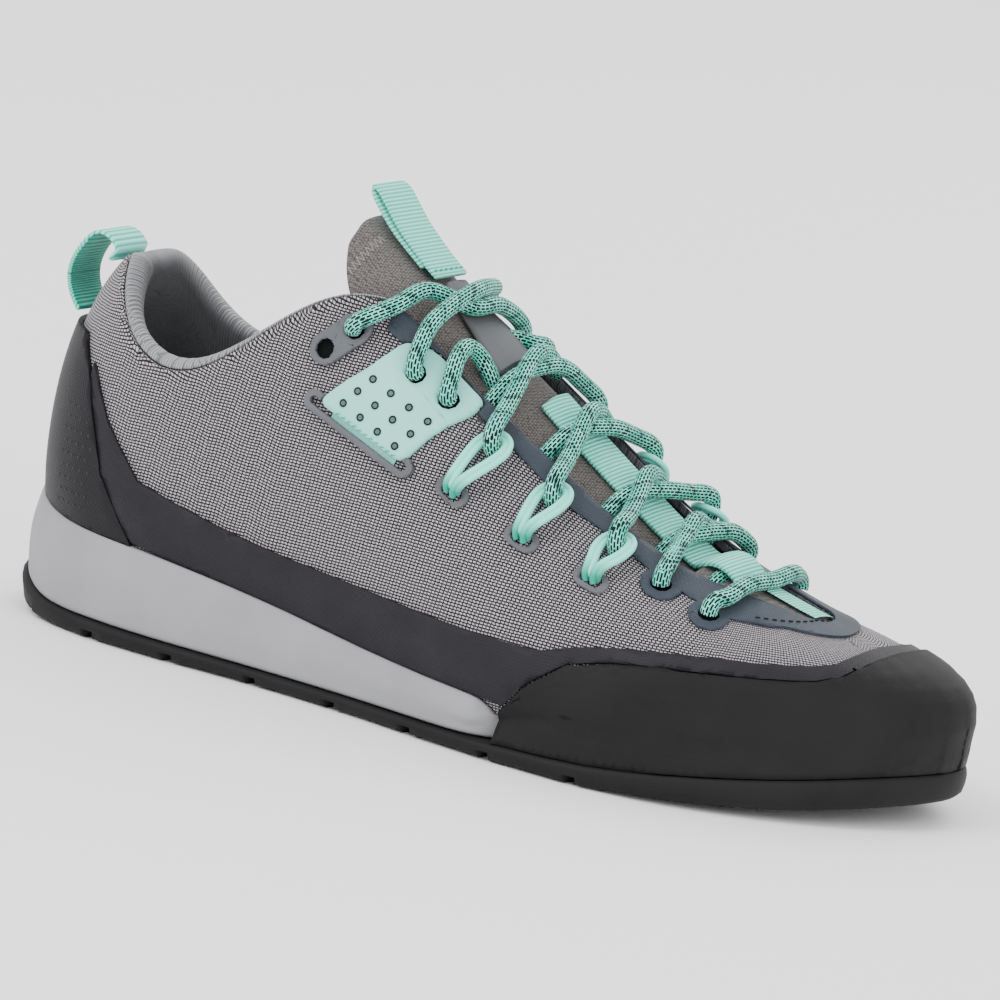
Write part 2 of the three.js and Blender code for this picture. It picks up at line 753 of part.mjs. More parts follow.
// Outsole: a slab that follows the tread's outline
function outsoleGeometry() {
  const rows = ribs.map((rib) => [
    insetPoint(rib, 1e6, groundHeight),
    insetPoint(rib, 2, groundHeight),
    insetPoint(rib, 0.6, (x) => groundHeight(x) + lugDepth * 0.5),
    insetPoint(rib, 0, (x) => mix(groundHeight(x), treadTop(x), 0.75)),
    insetPoint(rib, 1, treadTop),
    insetPoint(rib, 1e6, treadTop),
  ]);
  const grooves = [];
  const pitch = lugWidth + grooveWidth;
  for (let x = heelCentre - 1.2 * pitch; x < 0.78 * soleLength; x += pitch) {
    [-1, 1].forEach((hand) => {
      // every second groove runs out over the edge, and the others stop short of it
      const long = grooves.length % 4 < 2;
      const length = long ? ballWidth : localWidth(share(x)) * 0.26;
      const groove = new THREE.BoxGeometry(grooveWidth, length, 2 * lugDepth);
      groove.translate(0, hand * (treadSpine + length / 2), 0);
      groove.rotateZ(hand * grooveTurn);
      grooves.push(groove.translate(x, 0, 0));
    });
  }
  const slab = toSolid(loft(rows, { ring: true, closedRows: false }));
  return fromSolid(grooves.reduce((solid, groove) => solid.subtract(toSolid(groove)), slab));
}
addPiece('outsole', outsoleGeometry(), rubber);

// Midsole: a wedge whose rim cups the foot of the upper. In front of
// midsoleFront it is cut back on a slant and runs on thinly inside the rand.
const cut = (x) => THREE.MathUtils.clamp((x - midsoleFront) / midsoleCut, 0, 1);

function midsoleGeometry() {
  const rows = ribs.map((rib) => {
    const x = rib.base.x;
    const cutBack = cut(x);
    const bottom = (px) => treadTop(px) + clearance;
    const hidden = rib.featherInset + 2 * clearance;
    if (cutBack === 1) {
      const low = insetPoint(rib, hidden, bottom);
      const high = insetPoint(rib, hidden, platformTop);
      return [
        insetPoint(rib, 1e6, bottom), low, low.clone().lerp(high, 0.3),
        low.clone().lerp(high, 0.6), high, high, high, high, high,
        insetPoint(rib, 1e6, platformTop),
      ];
    }
    const rimLength = lengthAtHeight(rib, rimTop(x));
    const rimOut = facetPoint(rib, rimLength, clearance + rimWidth);
    rimOut.z = rimTop(x) - clearance;
    return [
      insetPoint(rib, 1e6, bottom),
      insetPoint(rib, 1.4, bottom),
      insetPoint(rib, 1, (px) => bottom(px) + 3),
      insetPoint(rib, 0.3, (px) => mix(bottom(px), rimTop(px), 0.55)),
      rimOut,
      facetPoint(rib, rimLength, clearance),
      facetPoint(rib, rimLength * 0.6, clearance),
      facetPoint(rib, rimLength * 0.3, clearance),
      facetPoint(rib, 0, clearance).setZ(platformTop(x)),
      insetPoint(rib, 1e6, platformTop),
    ];
  });
  return fromSolid(toSolid(loft(rows, { ring: true, closedRows: false })).subtract(keepClear));
}
addPiece('midsole', midsoleGeometry(), foam);

// Insole: lies loose on the midsole inside the upper
function insoleGeometry() {
  const rows = ribs.map((rib) => {
    const inset = rib.featherInset + upperWall + 2 * clearance;
    const low = (x) => platformTop(x) + clearance;
    const high = (x) => low(x) + insoleThickness;
    return [
      insetPoint(rib, 1e6, low), insetPoint(rib, inset, low),
      insetPoint(rib, inset, high), insetPoint(rib, 1e6, high),
    ];
  });
  return loft(rows, { ring: true, closedRows: false });
}
addPiece('insole', insoleGeometry(), finish('#4a4a4e', 0.9));

// Toe rand: rubber that wraps the forefoot from the outsole upwards
const randTop = (rib) => randReach * readTable(randLine, rib.along, 'reach');

function randGeometry() {
  const rows = toeStrip(midsoleFront + midsoleCut + clearance).map((rib) => {
    const floor = (x) => treadTop(x) + clearance;
    const top = randTop(rib);
    const low = top * 0.3;
    const outside = clearance + randThickness;
    const outer = places(rib, low, top, 5).map((length) => facetPoint(rib, length, outside));
    const inner = places(rib, 1, top, 3).map((length) => facetPoint(rib, length, 0));
    return [
      insetPoint(rib, 1, floor), ...outer, ...inner.reverse(),
      insetPoint(rib, rib.featherInset - 1, floor),
    ];
  });
  return fromSolid(toSolid(loft(rows)).subtract(keepClear));
}
addPiece('toe_rand', randGeometry(), rubber);

// Heel counter and the dark film that runs on from it round the toe
const rimLength = (rib) => lengthAtHeight(rib, rimTop(rib.base.x) + clearance);
const lineLength = (rib, table) => lengthAtHeight(
  rib, bandHeight * readTable(table, rib.along, 'height'));

function counterTop(rib) {
  const line = Math.min(lineLength(rib, bandLine), lineLength(rib, counterLine));
  return Math.max(line, rimLength(rib) + clearance);
}

function counterGeometry() {
  const reach = soleLength * counterLine[counterLine.length - 1].along + 1;
  const rows = heelStrip(reach).map((rib) => curtainSection(
    rib, rimLength(rib), counterTop(rib), 3));
  return fromSolid(covering(rows, counterThickness));
}
addPiece('heel_counter', counterGeometry(), darkFilm);

function bandSection(rib) {
  const inFront = rib.base.x > midsoleFront + midsoleCut + clearance;
  const underside = inFront ? randTop(rib) + 2 * clearance : 0;
  const behind = rib.along < counterLine[counterLine.length - 1].along;
  const counter = behind ? counterTop(rib) + 2 * clearance : 0;
  const low = Math.max(inFront ? 0 : rimLength(rib), underside, counter);
  const strip = inFront ? low + stripWidth : 0;
  const side = rib.along < 0.66 ? lineLength(rib, bandLine) : 0;
  return curtainSection(rib, low, Math.max(side, strip, low + 1), 3);
}

function bandGeometry() {
  const first = heelFan[heelFan.length - 1];
  const last = heelFan[0];
  return fromSolid(covering([first, ...toeStrip(0), last].map(bandSection), bandThickness));
}
addPiece('side_film', bandGeometry(), darkFilm);

// Collar lining: a padded roll that folds over the top of the upper
const liningPad = (rib) => collarPad * readTable(collarLine, rib.along, 'pad');

function liningGeometry() {
  const back = -(upperWall + 1.5 * clearance);
  const rows = heelStrip(soleLength * throatLine[0].along + 4).map((rib) => {
    const pad = liningPad(rib);
    const rise = Math.min(collarRise, pad);
    const depth = Math.min(collarDepth, rib.edge * 0.6);
    const profile = [
      [-depth, back], [-depth * 0.4, back], [-1, back], [clearance, back],
      [clearance, -0.6], [rise * 0.55, -0.5], [rise * 0.95, -2 - pad * 0.2],
      [rise, back - pad * 0.5], [rise * 0.5, back - pad * 0.92], [-rise * 0.6, back - pad],
      [-depth * 0.4, back - pad * 0.75], [-depth, back - 1.1],
    ];
    return profile.map(([up, offset]) => ribPoint(rib, rib.edge + up, offset));
  });
  return loft(rows);
}
addPiece('collar_lining', liningGeometry(), finish('#8e9093', 0.95));

// Tongue: a padded pad under the throat, laid out from the ridge to both sides
function acrossPoint(x, across, offset) {
  // the middle of the throat lies lower than the line of the upper
  const rib = makeRib(x, across < 0 ? -Math.PI / 2 : Math.PI / 2);
  const dip = tongueDip * readTable(dipLine, share(x), 'dip')
    * (1 - smooth(Math.abs(across), 10, 21));
  return ribPoint(rib, rib.length - Math.abs(across), offset - dip);
}

function acrossSection(x, edges, inside, outside) {
  // edges are distances from the ridge, from the outer side to the inner side
  const top = edges.map((across) => acrossPoint(x, across, outside(across)));
  const under = edges.map((across) => acrossPoint(x, across, inside(across)));
  return [...top, ...under.reverse()];
}

const throatTopX = soleLength * throatLine[0].along;
const throatGap = (x, side) => throatWidth * readTable(throatLine, share(x), side);

function tongueReach(x, side) {
  if (x < throatTopX) return tongueWidth * readTable(tongueLine, share(x), side);
  return throatGap(x, side) + tongueOverlap;
}

function tongueTopOffset(x, across) {
  // the tongue stands up in the throat and lies under the edges beside it
  const side = across < 0 ? 'outer' : 'inner';
  const gap = throatGap(Math.max(x, throatTopX), side);
  const fall = Math.min(6, gap - 3);
  const sink = mix(tongueSink, tongueEdgeSink, smooth(Math.abs(across), gap - fall - 2, gap - 2));
  // its top stands up clear of the collar beside it
  const rise = (1 - smooth(share(x), 0.33, 0.375)) * (1 - smooth(Math.abs(across), 12, 24));
  return tongueRise * rise - sink;
}

function tongueGeometry() {
  const front = throatFront - 8;
  const stops = [0.330, 0.343, 0.36, 0.385].map((along) => along * soleLength);
  const xs = [...stops, ...stations.filter((x) => x > throatTopX && x < front)];
  const rows = xs.map((x) => {
    const outer = tongueReach(x, 'outer');
    const inner = tongueReach(x, 'inner');
    const edges = [-outer, -outer * 0.86, -outer * 0.66, -outer * 0.4, -outer * 0.05,
      inner * 0.35, inner * 0.62, inner * 0.84, inner];
    const pad = tonguePad * mix(1, 0.6, smooth(x, throatTopX, front));
    const edgePad = (across) => pad * (across < 0 ? mix(1, 0.35, (across / outer) ** 4)
      : mix(1, 0.35, (across / inner) ** 4));
    return acrossSection(x, edges,
      (across) => tongueTopOffset(x, across) - edgePad(across),
      (across) => tongueTopOffset(x, across));
  });
  return loft(rows);
}
addPiece('tongue', tongueGeometry(), finish('#5f5b5b', 0.9));

// Small coverings on the two sides: an outline is drawn in the plane that
// touches the upper at one place, and stands up from it as a prism
const sides = ['outer', 'inner'];

// Small coverings and anchors lie a little further forward on the inner side
const placeX = (side, along) => along * soleLength + (side === 'inner' ? innerAdvance : 0);

function sidePoint(side, { along, drop }, offset = 0) {
  const rib = makeRib(placeX(side, along), side === 'outer' ? -Math.PI / 2 : Math.PI / 2);
  return ribPoint(rib, topEdge(rib) - drop * anchorDrop, offset);
}

function sideFrame(side, place) {
  const origin = sidePoint(side, place);
  const normal = sidePoint(side, place, 1).sub(origin).normalize();
  const ahead = sidePoint(side, { along: place.along + 0.01, drop: place.drop });
  const u = ahead.sub(origin);
  u.addScaledVector(normal, -u.dot(normal)).normalize();
  const v = normal.clone().cross(u);
  const flat = (point) => {
    const from = point.clone().sub(origin);
    return new THREE.Vector2(from.dot(u), from.dot(v));
  };
  return { origin, normal, u, v, flat };
}


function prism(frame, shape) {
  const geometry = new THREE.ExtrudeGeometry(shape, {
    depth: 2 * prismDepth, bevelEnabled: false, curveSegments: 5,
  });
  geometry.translate(0, 0, -prismDepth);
  const placed = new THREE.Matrix4().makeBasis(frame.u, frame.v, frame.normal);
  geometry.applyMatrix4(placed.setPosition(frame.origin));
  return toSolid(geometry);
}

function disc(centre, radius) {
  const shape = new THREE.Shape();
  shape.absarc(centre.x, centre.y, radius, 0, 2 * Math.PI);
  return shape;
}

function capsule(from, to, radius) {
  const angle = Math.atan2(to.y - from.y, to.x - from.x);
  const shape = new THREE.Shape();
  shape.absarc(to.x, to.y, radius, angle - Math.PI / 2, angle + Math.PI / 2);
  shape.absarc(from.x, from.y, radius, angle + Math.PI / 2, angle + 1.5 * Math.PI);
  return shape;
}

function roundedOutline(corners, radius) {
  const shape = new THREE.Shape();
  corners.forEach((corner, i) => {
    const before = corners[(i + corners.length - 1) % corners.length];
    const after = corners[(i + 1) % corners.length];
    const reach = Math.min(radius, corner.distanceTo(before) / 2.1, corner.distanceTo(after) / 2.1);
    const start = before.clone().sub(corner).setLength(reach).add(corner);
    const end = after.clone().sub(corner).setLength(reach).add(corner);
    if (i === 0) shape.moveTo(start.x, start.y);
    else shape.lineTo(start.x, start.y);
    shape.quadraticCurveTo(corner.x, corner.y, end.x, end.y);
  });
  shape.closePath();
  return shape;
}

const overUpper = (thickness) => toSolid(shell(clearance, clearance + thickness));
const panelShell = overUpper(panelThickness);
const plateShell = overUpper(plateThickness);
const portShell = overUpper(portThickness);
const filmShell = overUpper(filmThickness);
const grey = finish('#84868b', 0.55);
const paleMint = finish('#b5e0d9', 0.6);
const mint = finish('#8ee6d4', 0.75);
const laceMint = finish('#6fc4b4', 0.85);

const eyestayHoles = [];
const lobes = [];
sides.forEach((side) => {
  // eyelet lobes of the eyestay and the panel that lies over it
  anchors.forEach((anchor) => {
    const frame = sideFrame(side, anchor);
    const centre = new THREE.Vector2();
    if (anchor.kind === 'lobe') lobes.push(prism(frame, disc(centre, lobeRadius)));
    if (anchor.kind === 'lobe') eyestayHoles.push(prism(frame, disc(centre, eyeletHole / 2)));
  });
  const middle = sideFrame(side, anchors[6]);
  const corners = panelOutline.map((place) => middle.flat(sidePoint(side, place)));
  const holes = anchors.filter((anchor) => anchor.kind === 'panel')
    .map((anchor) => disc(middle.flat(sidePoint(side, anchor)), eyeletHole / 2));
  const outline = prism(middle, roundedOutline(corners, 3));
  const centreOf = corners.reduce((sum, c) => sum.add(c), new THREE.Vector2())
    .divideScalar(corners.length);
  const wider = corners.map((c) => c.clone().sub(centreOf));
  const cutter = prism(middle, roundedOutline(
    wider.map((c) => c.setLength(c.length() + 2 * clearance).add(centreOf)), 3));
  eyestayHoles.push(cutter);
  const panel = holes.reduce((solid, hole) => solid.subtract(prism(middle, hole)),
    panelShell.intersect(outline));
  addPiece(`panel_${side}`, fromSolid(panel), paleMint);

  // the frame of the slot into which the panel runs
  const slot = sideFrame(side, { along: 0.405, drop: 2.93 });
  const [from, to] = slotEnds.map((place) => slot.flat(sidePoint(side, place)));
  const frame = plateShell.intersect(prism(slot, capsule(from, to, frameRadius)))
    .subtract(prism(slot, capsule(from, to, slotRadius))).subtract(cutter);
  addPiece(`slot_frame_${side}`, fromSolid(frame), grey);

  // the top eyelet plate, with an open hole and the lace's hole
  const top = sideFrame(side, plateEnds[0]);
  const ends = plateEnds.map((place) => top.flat(sidePoint(side, place)));
  const plate = ends.reduce(
    (solid, end) => solid.subtract(prism(top, disc(end, eyeletHole / 2))),
    plateShell.intersect(prism(top, capsule(...ends, plateRadius))));
  addPiece(`eyelet_plate_${side}`, fromSolid(plate), grey);
});

// Tubes and ribbons that follow a line of points
function tube(points, radius, steps, sidesCount = 8) {
  const curve = new THREE.CatmullRomCurve3(points, false, 'centripetal');
  const frames = curve.computeFrenetFrames(steps, false);
  const rows = [];
  for (let i = 0; i <= steps; i += 1) {
    const centre = curve.getPointAt(i / steps);
    rows.push(Array.from({ length: sidesCount }, (unused, k) => {
      const turn = -2 * Math.PI * k / sidesCount;
      return centre.clone()
        .addScaledVector(frames.normals[i], Math.cos(turn) * radius)
        .addScaledVector(frames.binormals[i], Math.sin(turn) * radius);
    }));
  }
  return loft(rows);
}

function ribbon(points, across, width, thickness, steps) {
  // a flat band whose width lies along one direction
  const curve = new THREE.CatmullRomCurve3(points, false, 'centripetal');
  const rows = [];
  for (let i = 0; i <= steps; i += 1) {
    const centre = curve.getPointAt(i / steps);
    const up = across.clone().cross(curve.getTangentAt(i / steps)).normalize();
    const corner = (a, b) => centre.clone()
      .addScaledVector(across, a * width / 2).addScaledVector(up, b * thickness / 2);
    rows.push([corner(-1, -1), corner(1, -1), corner(1, 1), corner(-1, 1)]);
  }
  return loft(rows);
}

// Ports on the two sides and the cord loops that come out of them
const loopAnchors = anchors.filter((anchor) => anchor.kind === 'loop');
const cordLift = portThickness + 5 * clearance + loopCord / 2;

function loopFrame(side, port, anchor) {
  // the port's frame, the distance to the eye and the direction square to it
  const frame = sideFrame(side, port);
  const eye = frame.flat(sidePoint(side, anchor));
  const toward = eye.clone().normalize();
  const aside = new THREE.Vector2(-toward.y, toward.x);
  const sideways = frame.u.clone().multiplyScalar(aside.x).addScaledVector(frame.v, aside.y);
  return { frame, aside, sideways, reach: eye.length() };
}

sides.forEach((side) => {
  ports.forEach((port, i) => {
    const anchor = loopAnchors[i];
    const { frame, reach, aside, sideways } = loopFrame(side, port, anchor);
    const spacing = (loopCord + clearance) / 2;
    const half = portLength / 2;
    const shape = (length, radius) => capsule(
      aside.clone().multiplyScalar(-length), aside.clone().multiplyScalar(length), radius);
    const ring = portShell.intersect(prism(frame, shape(half, portRadius)))
      .subtract(prism(frame, shape(spacing, portHole)));
    addPiece(`port_${side}_${i + 1}`, fromSolid(ring), grey);

    const normalAt = (ahead) => {
      // the surface's normal at a share of the way from the port to the anchor
      const t = ahead / reach;
      const spot = {
        along: mix(port.along, anchor.along, t), drop: mix(port.drop, anchor.drop, t),
      };
      const base = sidePoint(side, spot);
      return { base, normal: sidePoint(side, spot, 1).sub(base).normalize() };
    };
    const loopPoint = (ahead, apart, lift) => {
      const { base, normal } = normalAt(ahead);
      const level = sideways.clone().addScaledVector(normal, -sideways.dot(normal)).normalize();
      return base.addScaledVector(normal, lift).addScaledVector(level, apart);
    };
    const tip = eyeRadius + loopCord / 2;
    const right = [
      loopPoint(0, spacing, 2 * clearance), loopPoint(0.1, spacing, cordLift * 0.6),
      loopPoint(1.2, spacing, cordLift * 0.95), loopPoint(2.6, spacing * 1.1, cordLift),
      loopPoint(reach - 3.5, tip * 0.85, cordLift), loopPoint(reach, tip, cordLift),
      loopPoint(reach + tip * 0.72, tip * 0.72, cordLift),
    ];
    const left = [
      loopPoint(reach + tip * 0.72, -tip * 0.72, cordLift), loopPoint(reach, -tip, cordLift),
      loopPoint(reach - 3.5, -tip * 0.85, cordLift), loopPoint(2.6, -spacing * 1.1, cordLift),
      loopPoint(1.2, -spacing, cordLift * 0.95), loopPoint(0.1, -spacing, cordLift * 0.6),
      loopPoint(0, -spacing, 2 * clearance),
    ];
    const path = [...right, loopPoint(reach + tip, 0, cordLift), ...left];
    addPiece(`cord_loop_${side}_${i + 1}`, tube(path, loopCord / 2, 30, 6), mint);
  });
});

// Eyestay: a thin film round the throat, cut away under the panels
function eyestayGeometry() {
  const rows = toeStrip(soleLength * throatLine[0].along).map((rib) => {
    const width = eyestayWidth * readTable(eyestayLine, rib.along, 'width');
    return curtainSection(rib, rib.edge - width, rib.edge - clearance, 2);
  });
  const strip = lobes.reduce((solid, lobe) => solid.add(lobe), toSolid(loft(rows)));
  const film = eyestayHoles.reduce((solid, hole) => solid.subtract(hole),
    filmShell.intersect(strip));
  return fromSolid(film);
}
addPiece('eyestay', eyestayGeometry(), finish('#5b626c', 0.6));

// Webbing along the tongue, raised where the lowest crossing goes under it
const webbingBase = -tongueSink + clearance;

function webbingGeometry() {
  const from = webbingLine[0].along * soleLength;
  const rows = spread(from, 0.785 * soleLength, 17).map((x) => {
    const rise = (laceDiameter + clearance) * readTable(webbingLine, share(x), 'rise');
    const half = webbingWidth / 2;
    const edges = [-1, -0.3, 0.4, 1].map((k) => k * half - webbingShift);
    return acrossSection(x, edges, () => webbingBase + rise,
      () => webbingBase + rise + webbingThickness);
  });
  return loft(rows);
}
addPiece('tongue_webbing', webbingGeometry(), mint);

// Lace keeper: a plate on the tongue, open at both sides for the lace
function keeperGeometry() {
  const ends = [keeperLine[0], keeperLine[keeperLine.length - 1]].map((row) => row.along);
  const inside = stations.map(share).filter((along) => along > ends[0] && along < ends[1]);
  const rows = [ends[0], ...inside, ends[1]].map((along) => along * soleLength).map((x) => {
    const outer = keeperWidth * readTable(keeperLine, share(x), 'outer');
    const inner = keeperWidth * readTable(keeperLine, share(x), 'inner');
    const low = webbingBase + clearance;
    return acrossSection(x, [-outer, -outer * 0.4, inner * 0.3, inner],
      () => low, () => low + keeperThickness);
  });
  return loft(rows);
}
addPiece('lace_keeper', keeperGeometry(), finish('#707273', 0.6));

// Laces: strands that start at an anchor, climb over the throat's edge and end
// inside the other edge. The two strands of a crossing are joined where they
// touch, with the outer side's strand on top.
const laceRadius = laceDiameter / 2;
const onTongue = webbingBase + webbingThickness + 4 * clearance + laceRadius;
const anchorTop = {
  lobe: clearance + filmThickness,
  loop: cordLift + loopCord / 2,
  panel: clearance + panelThickness,
  plate: clearance + plateThickness,
};
const sign = (side) => (side === 'outer' ? -1 : 1);

function startPoints(side, anchor, toward, climb = 1) {
  // up out of the anchor and over its rim towards the throat
  const top = anchorTop[anchor.kind] + clearance + laceRadius;
  const floor = 3 * clearance + (anchor.kind === 'loop' ? filmThickness : 0);
  const step = (ahead) => ({
    along: anchor.along + toward * ahead / soleLength,
    drop: anchor.drop - climb * ahead / anchorDrop,
  });
  return [
    sidePoint(side, anchor, floor), sidePoint(side, anchor, mix(floor, top, 0.5)),
    sidePoint(side, step(1), top * 0.93), sidePoint(side, step(3.4), top),
  ];
}

function strand(side, anchor, toward, spots) {
  // spots are places on the far side of the edge: x, distance across, offset
  const points = startPoints(side, anchor, toward);
  spots.forEach(([x, across, offset]) => points.push(acrossPoint(x, across, offset)));
  return tube(points, laceRadius, 16);
}

const overEdge = 2 * clearance + filmThickness + laceRadius;

function crossing(low, lift = 0) {
  // from the pair of anchors low to a place halfway to the next pair
  const anchor = anchors[low];
  const halfway = (anchor.along + anchors[low + 1].along) / 2;
  const gap = (x, side) => sign(side) * throatGap(x, side);
  const top = onTongue + laceDiameter - joinDepth;
  const strands = sides.map((side) => {
    const other = side === 'outer' ? 'inner' : 'outer';
    const high = side === 'outer';
    const from = placeX(side, anchor.along);
    const to = placeX(other, halfway);
    const ending = gap(to, other);
    const end = Math.sign(ending) * (Math.abs(ending) - laceRadius - clearance);
    const edge = gap(mix(from, to, 0.2), side);
    // the strands meet where their lines cross, towards the outer side
    const meetX = mix(placeX('outer', anchor.along), placeX('inner', halfway), 0.65);
    const meet = mix(gap(meetX, 'outer'), gap(meetX, 'inner'), 0.48);
    const beyond = mix(meet, end, 0.45);
    return toSolid(strand(side, anchor, 0, [
      [mix(from, to, 0.2), edge, overEdge + (high ? 1 : 0.5)],
      [mix(from, meetX, 0.6), mix(edge, meet, 0.5), onTongue + (high ? 2.8 : 0.6) + lift],
      [meetX, meet, (high ? top : onTongue) + lift],
      [mix(meetX, to, 0.5), beyond, (high ? onTongue + 1.5 : onTongue - 0.6) + lift],
      [to, end, (high ? 0.4 : -1.7) + lift],
    ]));
  });
  return fromSolid(strands[0].add(strands[1]));
}
[1, 2, 3].forEach((low) => addPiece(`lace_crossing_${low + 1}`, crossing(low), laceMint));
addPiece('lace_crossing_5', crossing(4, clearance), laceMint);

// The lowest pair: a strand under the raised webbing, and a straight bar in front
function lowStrand() {
  const x = 0.748 * soleLength;
  const rest = webbingBase + clearance / 2 + laceRadius;
  const outerEnd = laceRadius + clearance - throatGap(x, 'outer');
  const innerEnd = throatGap(x + 4, 'inner') - laceRadius - clearance;
  return tube([
    acrossPoint(x, outerEnd, rest - 1.6), acrossPoint(x + 1, outerEnd / 2, rest + 0.3),
    acrossPoint(x + 3, 0, rest), acrossPoint(x + 4, innerEnd, rest),
  ], laceRadius, 8);
}
addPiece('lace_crossing_1', lowStrand(), laceMint);

function barStrand() {
  const x = placeX('outer', anchors[0].along) + 3;
  const points = [
    ...startPoints('outer', anchors[0], 0.6),
    acrossPoint(x, -throatGap(x, 'outer'), overEdge),
    acrossPoint(x + 1, -2, onTongue + 0.6),
    acrossPoint(x + 1, throatGap(x, 'inner') + 1, overEdge + 0.4),
    ...startPoints('inner', anchors[0], 0).reverse(),
  ];
  return tube(points, laceRadius, 24);
}
addPiece('lace_bar', barStrand(), laceMint);

// The pair that runs through the keeper, one strand on each side
const keeperReach = (x, side) => sign(side) * keeperWidth
  * readTable(keeperLine, share(x), side);
const restOnTongue = webbingBase + laceRadius;

function keeperStrand(side) {
  const anchor = anchors[5];
  const x = placeX(side, anchor.along);
  const hand = sign(side);
  const back = side === 'outer' ? 1 : -1;
  const edge = hand * throatGap(x, side);
  const end = keeperReach(x + 3 * back, side) + hand * (laceRadius + clearance);
  return tube([
    ...startPoints(side, anchor, 0),
    acrossPoint(x - 0.3 * back, edge + hand * 0.5, overEdge + 1.9),
    acrossPoint(x - 0.8 * back, mix(edge, end, 0.7), restOnTongue + 3.8),
    acrossPoint(x + 0.8 * back, mix(edge, end, 0.98), restOnTongue + 1.4),
    acrossPoint(x + 3 * back, end, restOnTongue + 0.2),
  ], laceRadius, 18);
}
sides.forEach((side) => addPiece(`lace_keeper_${side}`, keeperStrand(side), laceMint));

// The top pair, from the panels to the eyelet plates

function topCrossing() {
  const low = webbingBase + keeperThickness + 3 * clearance + laceRadius;
  const high = low + laceDiameter - joinDepth;
  const meetX = 0.443 * soleLength;
  const under = [
    ...startPoints('inner', anchors[6], 0),
    acrossPoint(meetX + 3, throatGap(meetX, 'inner'), overEdge + 0.8),
    acrossPoint(meetX + 3, 3, low + 0.4), acrossPoint(meetX + 1.5, -9, low),
    acrossPoint(meetX - 6, -18, low - 0.2),
    acrossPoint(meetX - 9, -throatGap(meetX, 'outer') - 1, overEdge),
    ...startPoints('outer', anchors[7], 0.9, 0.4).reverse(),
  ];
  const over = [
    ...startPoints('outer', anchors[6], 0),
    acrossPoint(meetX + 0.3, 1 - throatGap(meetX, 'outer'), overEdge + 1.6),
    acrossPoint(meetX + 1, -17, high - 1.6), acrossPoint(meetX + 1.5, -9, high),
    acrossPoint(meetX + 0.5, -1, high - 1.4), acrossPoint(meetX - 2, 7, low + 0.8),
    acrossPoint(meetX - 6, throatGap(meetX, 'inner') - 2, overEdge + 0.6),
    ...startPoints('inner', anchors[7], 0.9, 0.4).reverse(),
  ];
  const strands = [under, over].map((points) => toSolid(tube(points, laceRadius, 34)));
  return fromSolid(strands[0].add(strands[1]));
}
addPiece('lace_crossing_7', topCrossing(), laceMint);

// Pull loop on the tongue: webbing folded double, with its fold standing clear
const crossWise = new THREE.Vector3(0, 1, 0);
const inPlane = (x, offset) => acrossPoint(x, 0, offset).setY(0);

function tongueLoopGeometry() {
  const lower = webbingBase + loopLayer / 2;
  const upper = lower + loopLayer + clearance;
  const points = loopLine.map(({ along, layer, rise }) => inPlane(
    along * soleLength, mix(lower, upper, layer) + rise * loopRise));
  return ribbon(points, crossWise, loopWidth, loopLayer, 26);
}
addPiece('tongue_loop', tongueLoopGeometry(), mint);

// Pull loop at the heel
function heelLoopGeometry() {
  const rib = makeRib(heelCentre, Math.PI);
  const off = clearance * 2 + webbingThickness / 2;
  const top = ribPoint(rib, topEdge(rib), off);
  const foot = ribPoint(rib, lengthAtHeight(rib, bandHeight + 1.5), off);
  const from = (base, x, z) => base.clone().add(new THREE.Vector3(x, 0, z));
  return ribbon([
    ribPoint(rib, topEdge(rib) - 2.5, off), ribPoint(rib, topEdge(rib) + 1, off + 0.4),
    from(top, -2.4, 3.8), from(top, -6.4, 4.2),
    from(foot, -3.4, 13.4), from(foot, -4.2, 8), from(foot, -2.6, 3.4), foot,
  ], crossWise.clone().negate(), webbingWidth, webbingThickness, 18);
}
addPiece('heel_loop', heelLoopGeometry(), mint);

export default shoe;
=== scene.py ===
import math

import bmesh
import bpy
from mathutils import Matrix, Vector
from mathutils.bvhtree import BVHTree


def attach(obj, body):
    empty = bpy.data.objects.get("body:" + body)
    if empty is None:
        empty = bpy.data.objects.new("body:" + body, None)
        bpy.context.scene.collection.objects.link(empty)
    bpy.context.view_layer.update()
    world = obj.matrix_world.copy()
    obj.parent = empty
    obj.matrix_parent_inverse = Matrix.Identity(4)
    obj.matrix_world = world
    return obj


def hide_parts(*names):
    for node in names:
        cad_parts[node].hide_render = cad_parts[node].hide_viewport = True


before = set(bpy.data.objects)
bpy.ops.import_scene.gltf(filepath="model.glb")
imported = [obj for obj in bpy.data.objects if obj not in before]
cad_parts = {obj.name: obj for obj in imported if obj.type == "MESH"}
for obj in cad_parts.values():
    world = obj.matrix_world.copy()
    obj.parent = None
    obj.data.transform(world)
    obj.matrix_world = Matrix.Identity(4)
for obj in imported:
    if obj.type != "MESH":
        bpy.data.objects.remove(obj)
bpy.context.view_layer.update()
mm = 0.001
print("frame loaded")

# Camera: above and ahead of the outer side, rolled so that the toe points down
view = {"azimuth": 26.5, "elevation": 11.6, "roll": 8.7, "distance": 1.8,
        "target": (0.101, 0, 0.045), "millimetresWide": 248.8, "shift": (-0.008, 0.0395)}


